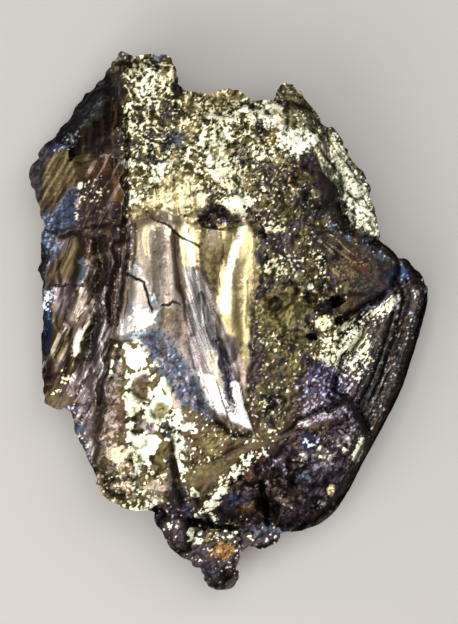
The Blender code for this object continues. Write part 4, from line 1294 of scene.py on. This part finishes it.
# %% Coats on the right
olive_slope = ZONES["olive"]
paint(olive_slope, ("olive", 0.95), ("char", 0.9, "grains", 0.4), ("plum", 0.8, "blots", 0.3))
paint(zone([(2.6, 5.6), (9.0, 4.6), (6.8, -4.6), (2.0, -5.4)]), ("moss", 0.7, "grains", 0.5))
paint(
    olive_slope, ("char", 0.9, "bits", 0.3), ("cream", 0.7, "dust_and_glints", 0.07),
    ("plum", 0.6, "grit_and_glints", 0.16),
)
paint(zone([(2.6, 8.6), (10.4, 8.6), (9.0, 4.6), (3.0, 5.4)]), ("cream", 0.95, "bits", 0.14))
paint(line([(2.9, 9.2), (3.1, 3.0)], 0.8), ("char", 0.8, "grains", 0.6))
dab(
    ("moss", 0.85, (5.3, 1.6, 2.1, 1.9)), ("olive", 0.9, "steep", 0.55, (5.4, 1.8, 2.4, 2.2)),
    ("char", 0.8, "grains", 0.5, (4.6, 6.4, 2.4, 1.4)),
    ("cream", 0.9, "bits", 0.4, (5.0, 5.6, 1.9, 1.2)),
    ("cream", 0.9, "dust_and_glints", 0.1, (7.4, 5.2, 2.2, 2.0)),
    ("moss", 0.8, "bits", 0.35, (6.8, 3.8, 1.6, 1.2)),
    ("teal", 0.2, "bits", 0.6, (6.6, 4.2, 1.2, 1.0)), ("white", 1, (8.1, 3.7, 0.3, 0.3)),
    ("cream", 0.95, "bits", 0.17, (4.2, -9.2, 2.8, 2.6)),
    ("char", 0.8, "grit_and_glints", 0.3, (7.0, -9.6, 1.8, 1.6)),
    ("char", 0.75, "grit_and_glints", 0.3, (8.6, 0.9, 1.7, 1.6)),
    ("cream", 0.9, "bits", 0.45, (9.6, -0.8, 1.0, 1.6)),
    ("lemon", 0.9, "bits", 0.65, (9.0, -0.2, 0.7, 0.9)),
    ("char", 0.75, "grit_and_glints", 0.22, (5.6, 3.8, 2.0, 1.8)),
    ("brown", 0.8, "blots", 0.8, (6.6, -8.6, 1.4, 2.0)), ("soot", 1, (10.6, 2.0, 0.6, 0.4, 10)),
    ("soot", 1, (8.0, -1.4, 0.5, 0.35, -40)),
)
print_tint()

# %% Coats on the plate
plate = ZONES["plate"]
paint(
    plate, ("char", 0.95), ("brown", 0.8, "edgewise", 0.4), ("soot", 0.85, "bits", 0.3),
    ("bronze", 0.8, "dust_and_glints", 0.025),
)
paint(line([(16.6, -1.0), (14.6, -7.0), (12.8, -11.6)], 1.2), ("silver", 0.8, "edgewise", 0.06))
paint(line([(16.6, -1.0), (14.6, -7.0), (12.8, -11.6)], 1.4), ("silver", 0.8, "dust_and_glints", 0.05))
paint(line([(16.4, -2.6), (14.8, -8.4)], 1.7), ("soot", 0.5, "edgewise", 0.6))
dab(("char", 0.8, "grains", 0.5, (17.6, 0.6, 1.8, 1.9)))
paint(plate, ("char", 0.8, "grit_and_glints", 0.25), ("bronze", 0.8, "grit_and_glints", 0.03))
dab(("char", 0.6, "bits", 0.6, (14.4, -5.2, 1.9, 1.9)))
chain = [(15.9, 1.6), (14.6, 0.7), (12.9, -0.6), (11.8, -2.2), (12.4, -4.2)]
paint(line(chain, 1.5, 0.8, ragged=0.6), ("silver", 0.75, "rising", 0.4))
paint(line(chain[:2], 0.7, 0.8, ragged=0.6), ("cream", 1, "rising", 0.45))
dab(
    ("cream", 0.9, "rising", 0.7, (12.1, -1.4, 1.9, 1.7, 30)),
    ("mint", 0.9, "bits", 0.5, (12.2, -1.8, 1.7, 1.6, 30)),
)
paint(line(chain[1:], 1.5, 0.8, ragged=0.6), ("cream", 0.9, "dust_and_glints", 0.16))
paint(line(chain, 1.6, 0.8), ("char", 0.7, "grit_and_glints", 0.2))
# Painted highlight, partly: silver specks along the right edge, where it catches the light, with
# slate bits.
paint(
    line([(19.4, 3.4), (18.7, -0.6)], 1.2), ("silver", 0.7, "dust_and_glints", 0.16),
    ("slate", 0.7, "bits", 0.3),
)
dab(
    ("cream", 1, "bits", 0.55, (9.8, -1.9, 0.8, 1.1)),
    ("mint", 1, "bits", 0.5, (10.2, -3.9, 1.2, 1.2)),
    ("mint", 1, "bits", 0.4, (12.6, -3.2, 1.4, 1.6)),
    ("silver", 0.9, "bits", 0.25, (12.6, -3.4, 2.6, 2.4)),
    ("mint", 1, "bits", 0.4, (11.0, -3.6, 1.3, 1.2)),
    ("silver", 0.8, "bits", 0.4, (10.0, -4.2, 1.6, 1.6)),
    ("cream", 0.9, "grit_and_glints", 0.26, (10.0, -3.6, 1.6, 1.6)),
    ("cream", 0.9, "dust_and_glints", 0.2, (11.6, -4.2, 2.8, 1.6)),
    ("plum", 0.9, "grains", 0.7, (9.6, -6.8, 3.4, 3.2)),
    ("indigo", 0.8, "bits", 0.6, (9.6, -5.8, 2.0, 2.2)),
    ("slate", 0.7, "bits", 0.2, (9.6, -6.6, 3.0, 2.8)),
    ("steel", 0.8, "bits", 0.14, (9.2, -7.0, 2.0, 2.0)),
    ("lilac", 0.7, "dust_and_glints", 0.2, (9.7, -7.6, 3.2, 3.8)),
    ("mauve", 0.7, "bits", 0.45, (9.6, -9.8, 2.8, 2.0)),
    ("silver", 0.7, "bits", 0.22, (9.8, -10.2, 3.2, 2.6)),
    ("plum", 0.8, "grains", 0.6, (11.6, -9.4, 2.0, 2.0)),
    ("lilac", 0.5, "grit_and_glints", 0.22, (10.6, -9.4, 2.6, 2.2)),
)
print_tint()

# %% [markdown]
# ## The two lower facets and the foot
#
# The lower left facet is the brightest place: mint-white metal with islands of brown and olive,
# turning golden and sparkly at its lower end. Its mint-white is partly painted reflection, the
# glare of the lamps on a facet that faces them. Its neighbour is its opposite, purple-brown and
# nearly black. Between them runs a dark crack, and a white line marks the edge. The foot is
# tarnished indigo, with an orange-brown spot.

# %% Coats at the bottom
bright, dark, foot = ZONES["bright"], ZONES["dark"], ZONES["foot"]
paint(bright, ("olive", 0.9), ("brown", 0.85, "grains", 0.5), ("char", 0.6, "grit_and_glints", 0.1))
paint(
    zone([(-12.4, -3.6), (-10.6, -3.6), (-10.8, -12.4), (-13.4, -12.4)]),
    ("mauve", 0.8, "bits", 0.6), ("rose", 0.8, "bits", 0.08),
)
# Partly painted reflection: the facet's mint grains are also the glare of the lamps on it.
mint_and_glare = zone([(-10.4, -0.6), (-7.0, -2.0), (-5.0, -5.6), (-3.6, -9.0), (-4.0, -14.6)]
              + [(-9.8, -15.4), (-10.4, -8.0)])
paint(mint_and_glare, ("mint", 1, "grains", 0.5))
for x, y, rx, ry, turn in [
    (-6.2, -6.6, 1.1, 2.0, -10), (-7.4, -8.6, 1.8, 1.0, 30), (-8.2, -12.0, 1.7, 1.4, 20),
    (-9.2, -3.2, 1.1, 1.4, -20), (-4.6, -9.6, 1.6, 0.7, 10), (-4.4, -12.0, 0.6, 1.6, 20),
    (-4.9, -17.2, 0.5, 1.0, 0), (-9.6, -8.0, 0.8, 1.3, 0),
]:
    paint(spot(x, y, rx, ry, turn, ragged=0.9), ("mint", 1, "grains", 0.9))
paint(bright, ("brown", 0.8, "bits", 0.06))
dab(
    ("mint", 1, "grains", 0.3, (-11.0, -3.6, 1.4, 1.8)),
    ("mauve", 0.6, "bits", 0.3, (-11.4, -3.8, 1.2, 1.8)),
    ("brown", 0.85, "grains", 0.6, (-11.6, -9.8, 1.6, 2.4)),
    ("bronze", 0.8, "bits", 0.4, (-11.4, -11.4, 1.4, 1.4)),
    ("brown", 0.8, "bits", 0.55, (-4.9, -9.6, 1.6, 1.5)),
    ("brown", 0.95, (-8.7, -6.4, 0.9, 1.5, -10)), ("moss", 0.95, (-6.7, -8.6, 0.7, 0.9)),
    ("bronze", 0.9, (-5.0, -7.6, 0.6, 1.2, -20)), ("mauve", 0.9, (-7.8, -10.2, 0.7, 0.6)),
    ("char", 0.9, "bits", 0.6, (-8.7, -10.2, 1.0, 0.9)),
    ("char", 0.9, "bits", 0.6, (-5.5, -10.8, 1.2, 1.1)),
)
golden = zone([(-13.0, -12.4), (-10.2, -12.0), (-9.4, -14.4), (-5.4, -15.0), (-5.6, -19.0)]
              + [(-10.4, -19.4), (-13.4, -16.4)])
paint(golden, ("bronze", 0.75, "grains", 0.6))
dab(
    ("mauve", 0.8, "bits", 0.25, (-9.0, -17.0, 3.6, 2.4, -10)),
    ("brown", 0.7, "bits", 0.16, (-8.6, -16.4, 4.0, 3.0, -10)),
    ("cream", 1, "dust_and_glints", 0.2, (-9.0, -17.0, 3.6, 2.6, -10)),
    ("char", 0.7, "grit_and_glints", 0.16, (-10.4, -15.0, 3.0, 2.4, -10)),
    ("mint", 0.9, "bits", 0.35, (-8.0, -18.4, 2.0, 1.0)),
    ("amber", 0.7, "bits", 0.25, (-9.6, -16.2, 2.4, 1.4)),
)
paint(spot(-10.6, -13.0, 1.0, 1.0, ragged=0.5), ("lemon", 0.65, "bits", 0.8))

print_tint()

# %% Coats between the facets
paint(
    line(slate_band, 1.9, 0.6), ("slate", 1), ("char", 0.6, "bits", 0.45),
    ("mauve", 0.5, "grains", 0.5), ("char", 0.7, "grit_and_glints", 0.3),
)
paint(line(slate_band[:2], 1.6, 0.6), ("plum", 0.6, "bits", 0.4))
paint(line(slate_band[1:], 1.2, 0.6), ("plum", 0.7, "bits", 0.4))
paint(line(slate_band[1:], 1.2, 0.5), ("lilac", 0.6, "dust_and_glints", 0.04))
facets = zone([(-4.4, -7.8), (-2.4, -9.2), (3.0, -11.6), (-0.6, -13.2), (-3.2, -15.4)]
              + [(-4.4, -14.0)])
paint(facets, ("brown", 0.95), ("olive", 0.9, "grains", 0.55))
dab(("moss", 0.8, "blots", 0.5, (-1.0, -11.6, 1.4, 1.6)))
paint(zone([(-4.6, -9.6), (-2.8, -9.6), (-2.8, -13.6), (-4.8, -13.6)]), ("mint", 1, "grains", 0.42))
paint(facets, ("char", 0.7, "bits", 0.25), ("mint", 1, "grit_and_glints", 0.05))
dab(("mint", 1, "bits", 0.25, (-4.4, -14.6, 1.2, 0.8)))

crack = zone([(-6.3, -12.8), (-5.7, -10.8), (-4.4, -16.6), (-4.2, -19.4), (-6.2, -19.6)]
             + [(-6.2, -16.0)])
paint(crack, ("brown", 0.95), ("char", 0.9, "grains", 0.6))
paint(line([(-5.6, -11.0), (-4.8, -14.4)], 0.25), ("mint", 0.9))
paint(line([(-4.8, -14.4), (-4.4, -16.0)], 0.25), ("mint", 0.9, "bits", 0.5))

print_tint()

# %% Coats on the dark facet and the foot
paint(
    dark, ("plum", 1), ("brown", 0.6, "blots", 0.25), ("soot", 0.85, "bits", 0.4),
    ("rose", 0.5, "dust_and_glints", 0.02),
)
dab(
    ("mauve", 0.6, "grains", 0.45, (9.2, -12.6, 4.0, 2.0, 10)),
    ("silver", 0.7, "bits", 0.25, (9.4, -12.4, 4.0, 2.0, 10)),
    ("lemon", 0.8, "bits", 0.4, (9.2, -12.6, 1.1, 0.9, 30)),
    ("slate", 0.6, "grains", 0.35, (8.8, -14.6, 3.6, 2.6)),
    ("indigo", 0.9, "grains", 0.7, (7.4, -11.6, 1.9, 1.0)),
    ("lilac", 0.9, "bits", 0.4, (7.5, -11.5, 1.5, 0.8)),
    ("ice", 0.95, "bits", 0.5, (7.6, -11.6, 1.1, 0.6)),
    ("cream", 0.9, "bits", 0.3, (10.4, -12.2, 1.4, 0.8)),
)
paint(
    line([(-2.6, -16.2), (0.6, -13.9), (4.2, -12.1), (6.4, -11.6)], 1.0),
    ("brown", 0.9, "grains", 0.8),
)
dab(
    ("navy", 0.8, "bits", 0.6, (0.2, -17.7, 1.8, 1.1)),
    ("amber", 0.5, "bits", 0.45, (2.0, -18.3, 1.6, 0.9)),
    ("lilac", 0.6, "bits", 0.35, (4.6, -14.2, 1.6, 1.0)),
    ("rose", 0.7, "bits", 0.25, (3.0, -15.6, 1.2, 1.0, -40)),
)
# Painted shade: the cavity in the dark facet is painted near-black.
paint(line(CRACKS[6][2], 0.5), ("soot", 0.9))
dab(("mint", 0.9, "bits", 0.2, (3.0, -11.8, 1.4, 0.8)))
lip = FOLDS[5][2]
below = zone([(-4.2, -15.2), (-1.0, -13.4), (3.2, -11.9), (3.2, -12.7)] + lip[4:0:-1]
             + [(-3.4, -18.4)])
paint(
    below, ("brown", 0.95), ("olive", 0.9, "grains", 0.6), ("moss", 0.7, "bits", 0.3),
    ("brown", 0.8, "blots", 0.35), ("char", 0.8, "grit_and_glints", 0.14),
)
paint(
    line([(-1.4, -18.8), (0.2, -16.6), (1.6, -14.6), (3.0, -13.6)], 1.2, 0.5),
    ("rust", 0.6, "grains", 0.6),
)
paint(line(lip, 0.9, 0.7, ragged=0.6), ("mint", 1, "bits", 0.52))
paint(line(lip[:4], 1.2, 0.7, ragged=0.6), ("cream", 0.9, "dust_and_glints", 0.16))
paint(spot(-3.4, -16.9, 0.6, 0.6, ragged=0.5), ("mint", 1, "bits", 0.8))
dab(
    ("mint", 1, "bits", 0.85, (12.7, -12.8, 0.55, 1.5, -20)), ("gold", 1, (10.2, -16.6, 0.35, 0.6)),
    ("silver", 0.8, "bits", 0.4, (9.4, -18.2, 0.9, 0.6)),
)
plate_edge = [(20.3, 3.4), (19.2, -1.6), (17.5, -7.0), (15.0, -12.4), (11.8, -17.8)]
plate_edge += [(8.9, -20.5), (5.7, -20.9)]
paint(line(plate_edge, 0.5, 0.5), ("soot", 0.8))

paint(
    foot, ("char", 0.95), ("brown", 0.85, "grains", 0.45), ("plum", 0.8, "blots", 0.4),
    ("cream", 0.9, "dust_and_glints", 0.05),
)
dab(
    ("indigo", 0.6, "bits", 0.5, (-4.6, -19.0, 1.2, 1.4)),
    ("mint", 1, "bits", 0.45, (-2.2, -19.0, 1.2, 1.3)),
    ("moss", 0.9, "bits", 0.5, (-1.8, -21.2, 1.4, 1.1)),
    ("mint", 1, "bits", 0.75, (-3.3, -21.2, 0.7, 1.2)),
    ("mint", 1, "bits", 0.32, (-0.5, -21.2, 1.5, 0.7, 20)),
    ("amber", 0.85, "bits", 0.8, (-0.6, -22.9, 1.3, 1.0)),
    ("indigo", 0.7, "bits", 0.35, (-1.5, -24.8, 1.4, 1.9)),
    ("char", 0.8, "grit_and_glints", 0.3, (-1.2, -24.8, 1.8, 2.0)),
    ("char", 0.9, "bits", 0.6, (0.2, -25.0, 1.2, 1.8)),
    ("silver", 0.8, "bits", 0.2, (0.6, -24.0, 0.8, 1.6)),
    ("slate", 0.8, "grains", 0.7, (3.8, -20.9, 2.0, 1.1)),
    ("silver", 0.7, "bits", 0.18, (3.8, -21.0, 2.0, 1.1)),
)
# Painted shade: the cavity above the foot is painted near-black.
paint(line(CRACKS[7][2], 0.4), ("soot", 0.7))
print_tint()

# %% [markdown]
# ## Painted shade in the hollows
#
# The hollows between the grains get painted shade, and the crests of the grains keep their colour.
# Both follow from the heights: a point that is lower than its surroundings is darkened, and one
# that is higher keeps its colour. On steep places and walls a colour would be drawn out into
# stripes, so they take a blurred and darker tint, and the material adds their layers. Each value is
# kept for the face, the walls and the back.

# %% Painted shade in the hollows, and the values that the pieces carry
hollow_shade = smooth(-relief, 0.02, 0.16)
# Painted shade: points lower than their surroundings are darkened, less on the calm faces.
tint *= (1 - 0.8 * hollow_shade * blend(1, 0.5, calm))[..., None]
side_tint = 0.5 * np.stack([softened(np.minimum(tint[..., k], 0.3), 0.8) for k in range(3)], -1)
tint[:] = blend(tint, side_tint, 0.9 * cliff[..., None])
pale_share = smooth(tint @ np.array([0.21, 0.72, 0.07]), 0.42, 0.7)
none, all_of_it = np.zeros(X.shape), np.ones(X.shape)
PAINTED = {
    "tint": (tint, side_tint, side_tint), "calm": (calm, none, 0.6 * all_of_it),
    "hollow_shade": (hollow_shade, none, none), "pale": (pale_share, none, none),
    "edge": (0.5 * cliff, all_of_it, undercut), "under": (none, none, all_of_it),
}
print("hollow share:", round(float(hollow_shade[inside].mean()), 3))

# %% [markdown]
# ## Node sums in plain Python
#
# A node tree drawn by hand hides simple sums. Here a small class wraps a node's output, so that
# 1 - mask writes the Math node by itself, and one function makes every other node.


# %% Sockets that can be added and multiplied
class Socket:
    """A node's output; +, - and * on it add Math nodes to its tree."""

    def __init__(self, tree, output):
        self.tree, self.output = tree, output

    def math(self, operation, first, second, clamp=False):
        """One Math node, its operation and clamp set before its two values."""
        settings = {"operation": operation, "use_clamp": clamp}
        return node(self.tree, "ShaderNodeMath", settings, {0: first, 1: second})

    def __add__(self, other):
        return self.math("ADD", self, other)

    def __sub__(self, other):
        return self.math("SUBTRACT", self, other)

    def __rsub__(self, other):
        return self.math("SUBTRACT", other, self)

    def __mul__(self, other):
        return self.math("MULTIPLY", self, other)

    def over(self, low, high):
        """0 at low and 1 at high, clamped: (value - low) / (high - low)."""
        return self.math("MULTIPLY", self - low, 1 / (high - low), clamp=True)

    __radd__, __rmul__ = __add__, __mul__


def node(tree, kind, settings=None, inputs=None, output=0):
    """Adds a node, sets it up, then fills its sockets with values or links."""
    made = tree.nodes.new(kind)
    for name, value in (settings or {}).items():
        setattr(made, name, value)
    for key, value in (inputs or {}).items():
        if isinstance(value, Socket):
            tree.links.new(value.output, made.inputs[key])
        else:
            made.inputs[key].default_value = value
    return Socket(tree, made.outputs[output])


def colour(tree, first, second, factor, mode="MIX"):
    """One Mix node on colours: first where the factor is 0 and second where it is 1."""
    fill = lambda c: c if isinstance(c, Socket) else (*c, 1.0)
    settings = {"data_type": "RGBA", "blend_type": mode, "clamp_factor": True}
    return node(tree, "ShaderNodeMix", settings, {0: factor, 6: fill(first), 7: fill(second)}, 2)


print("sums of sockets ready")

# %% [markdown]
# ## The covellite and its crust
#
# The specimen is all sulfides, so it is metallic, and what differs is how much light each part
# returns. Only the palest patches are made less metallic, so that they stay pale from every side.
# A metal shows its surroundings, so fine bump and uneven roughness break the reflections into
# glints. The walls show thin layers, and the back has the colours of a tarnished cleavage face,
# so both get colours of their own from noise.

# %% The material
covellite = bpy.data.materials.new("covellite_and_crust")
covellite.use_nodes = True
tree = covellite.node_tree
shader = tree.nodes["Principled BSDF"]
place_in = node(tree, "ShaderNodeTexCoord", output="Object")


def painted(name, output="Fac"):
    """A value or colour that was painted on the points."""
    return node(tree, "ShaderNodeAttribute", {"attribute_name": name}, output=output)


def speckle(size_mm, detail=3.0, rough=0.6, stretch=(1, 1, 1)):
    """Fractal noise whose largest blotches are this many mm across, squeezed along an axis."""
    factors = {0: place_in, 1: stretch}
    vector = node(tree, "ShaderNodeVectorMath", {"operation": "MULTIPLY"}, factors)
    inputs = {"Vector": vector, "Scale": 1 / (size_mm * MM), "Detail": detail, "Roughness": rough}
    return node(tree, "ShaderNodeTexNoise", {}, inputs)


edge, under = painted("edge"), painted("under")
blotch, freckle, dust_and_glints = speckle(2.5), speckle(0.4), speckle(0.13, 2.0)
layers, haze = speckle(1.6, 4.0, 0.6, (1, 1, 7)), speckle(7.0, 2.0)

whole = painted("tint", "Color")
whole = colour(tree, whole, colour(tree, whole, COLOURS["soot"], 0.5), dust_and_glints.over(0.5, 0.3))
whole = colour(tree, whole, COLOURS["slate"], edge * blotch.over(0.5, 0.62) * 0.5)
whole = colour(tree, whole, COLOURS["bronze"], edge * layers.over(0.56, 0.66) * 0.45)
whole = colour(tree, whole, COLOURS["soot"], edge * layers.over(0.5, 0.42) * 0.9)
whole = colour(tree, whole, COLOURS["char"], edge * freckle.over(0.5, 0.4) * 0.8)
back_tint = colour(tree, COLOURS["slate"], COLOURS["indigo"], blotch.over(0.5, 0.62) * 0.7)
back_tint = colour(tree, back_tint, COLOURS["plum"], blotch.over(0.46, 0.36))
back_tint = colour(tree, back_tint, COLOURS["bronze"], haze.over(0.48, 0.62) * 0.3)
back_tint = colour(tree, back_tint, COLOURS["char"], freckle.over(0.52, 0.42) * 0.6)
whole = colour(tree, whole, back_tint, under * (1 - 0.8 * edge))
tree.links.new(whole.output, shader.inputs["Base Color"])

gloss = 0.48 + 0.04 * painted("calm") + 0.10 * painted("hollow_shade") + 0.3 * (dust_and_glints - 0.5)
tree.links.new((gloss + 0.15 * (freckle - 0.5)).output, shader.inputs["Roughness"])
tree.links.new((1 - 0.6 * painted("pale")).output, shader.inputs["Metallic"])
heights = (freckle + 0.5 * dust_and_glints) * (1 - 0.7 * painted("calm"))
shader.inputs["Specular Tint"].default_value = (0.45, 0.42, 0.42, 1)
bump = node(tree, "ShaderNodeBump", {}, {"Strength": 0.7, "Distance": 0.05 * MM, "Height": heights})
tree.links.new(bump.output, shader.inputs["Normal"])
print("nodes in the material:", len(tree.nodes))

# %% [markdown]
# ## Making the pieces
#
# Each label becomes one closed mesh. They share their border points exactly, so no gap shows.

# %% The five pieces
specimen = [closed_piece(name, labels == k) for k, name in enumerate(PIECES)]
print("pieces:", [piece.name for piece in specimen])

# %% [markdown]
# ## The table, the light and the camera
#
# A metallic specimen looks black in an even light and comes alive under a few lamps, so that its
# faces can catch one and miss another. Large lamps keep the shadows soft, and a smaller one near
# the camera makes the crust sparkle. The camera looks straight down through a long lens.

# %% Floor
FLOOR_SIZE = 3.0
bpy.ops.mesh.primitive_plane_add(size=FLOOR_SIZE, location=(0, 0, 0))
floor = bpy.context.object
floor.name = "floor"
PAPER, PAPER_ROUGHNESS = (0.30, 0.285, 0.268), 0.9
floor_paper = bpy.data.materials.new("floor_paper")
floor_paper.use_nodes = True
paper = floor_paper.node_tree.nodes["Principled BSDF"]
paper.inputs["Base Color"].default_value = (*PAPER, 1)
paper.inputs["Roughness"].default_value = PAPER_ROUGHNESS
floor.data.materials.append(floor_paper)
print("floor size in m:", FLOOR_SIZE)


# %% Lamps
def lamp(name, where, size, watts, tint=(1, 1, 1)):
    """An area lamp aimed at the specimen's middle."""
    data = bpy.data.lights.new(name, "AREA")
    data.energy, data.size, data.color = watts, size, tint
    made = bpy.data.objects.new(name, data)
    bpy.context.scene.collection.objects.link(made)
    made.location = where
    made.rotation_euler = (-made.location).to_track_quat("-Z", "Y").to_euler()


lamp("window", (-0.09, -0.09, 0.14), 0.16, 0.34, (1, 0.985, 0.96))
lamp("softbox", (0.26, 0.20, 0.42), 0.24, 0.5, (0.97, 0.98, 1))
lamp("overhead", (0.02, 0.06, 0.50), 0.34, 2.6)
ROOM_LIGHT = 0.6
world = bpy.data.worlds.new("room")
world.use_nodes = True
world.node_tree.nodes["Background"].inputs["Color"].default_value = (1.0, 1.0, 1.0, 1)
world.node_tree.nodes["Background"].inputs["Strength"].default_value = ROOM_LIGHT
bpy.context.scene.world = world
bpy.context.scene.view_settings.view_transform = "Standard"
print("lamps:", [data.name for data in bpy.data.lights])

# %% Camera
LENS = 120.0
FRAME_HEIGHT = 62.4 * MM
CENTRE = (0.0, 1.05 * MM)
camera_data = bpy.data.cameras.new("camera")
camera_data.lens = LENS
camera_data.clip_start = 0.01
camera = bpy.data.objects.new("camera", camera_data)
bpy.context.scene.collection.objects.link(camera)
MIDDLE_HEIGHT = 7.0 * MM
distance = FRAME_HEIGHT * LENS / camera_data.sensor_width
camera.location = (CENTRE[0], CENTRE[1], MIDDLE_HEIGHT + distance)
bpy.context.scene.camera = camera
print("camera distance in mm:", round(distance / MM, 1))
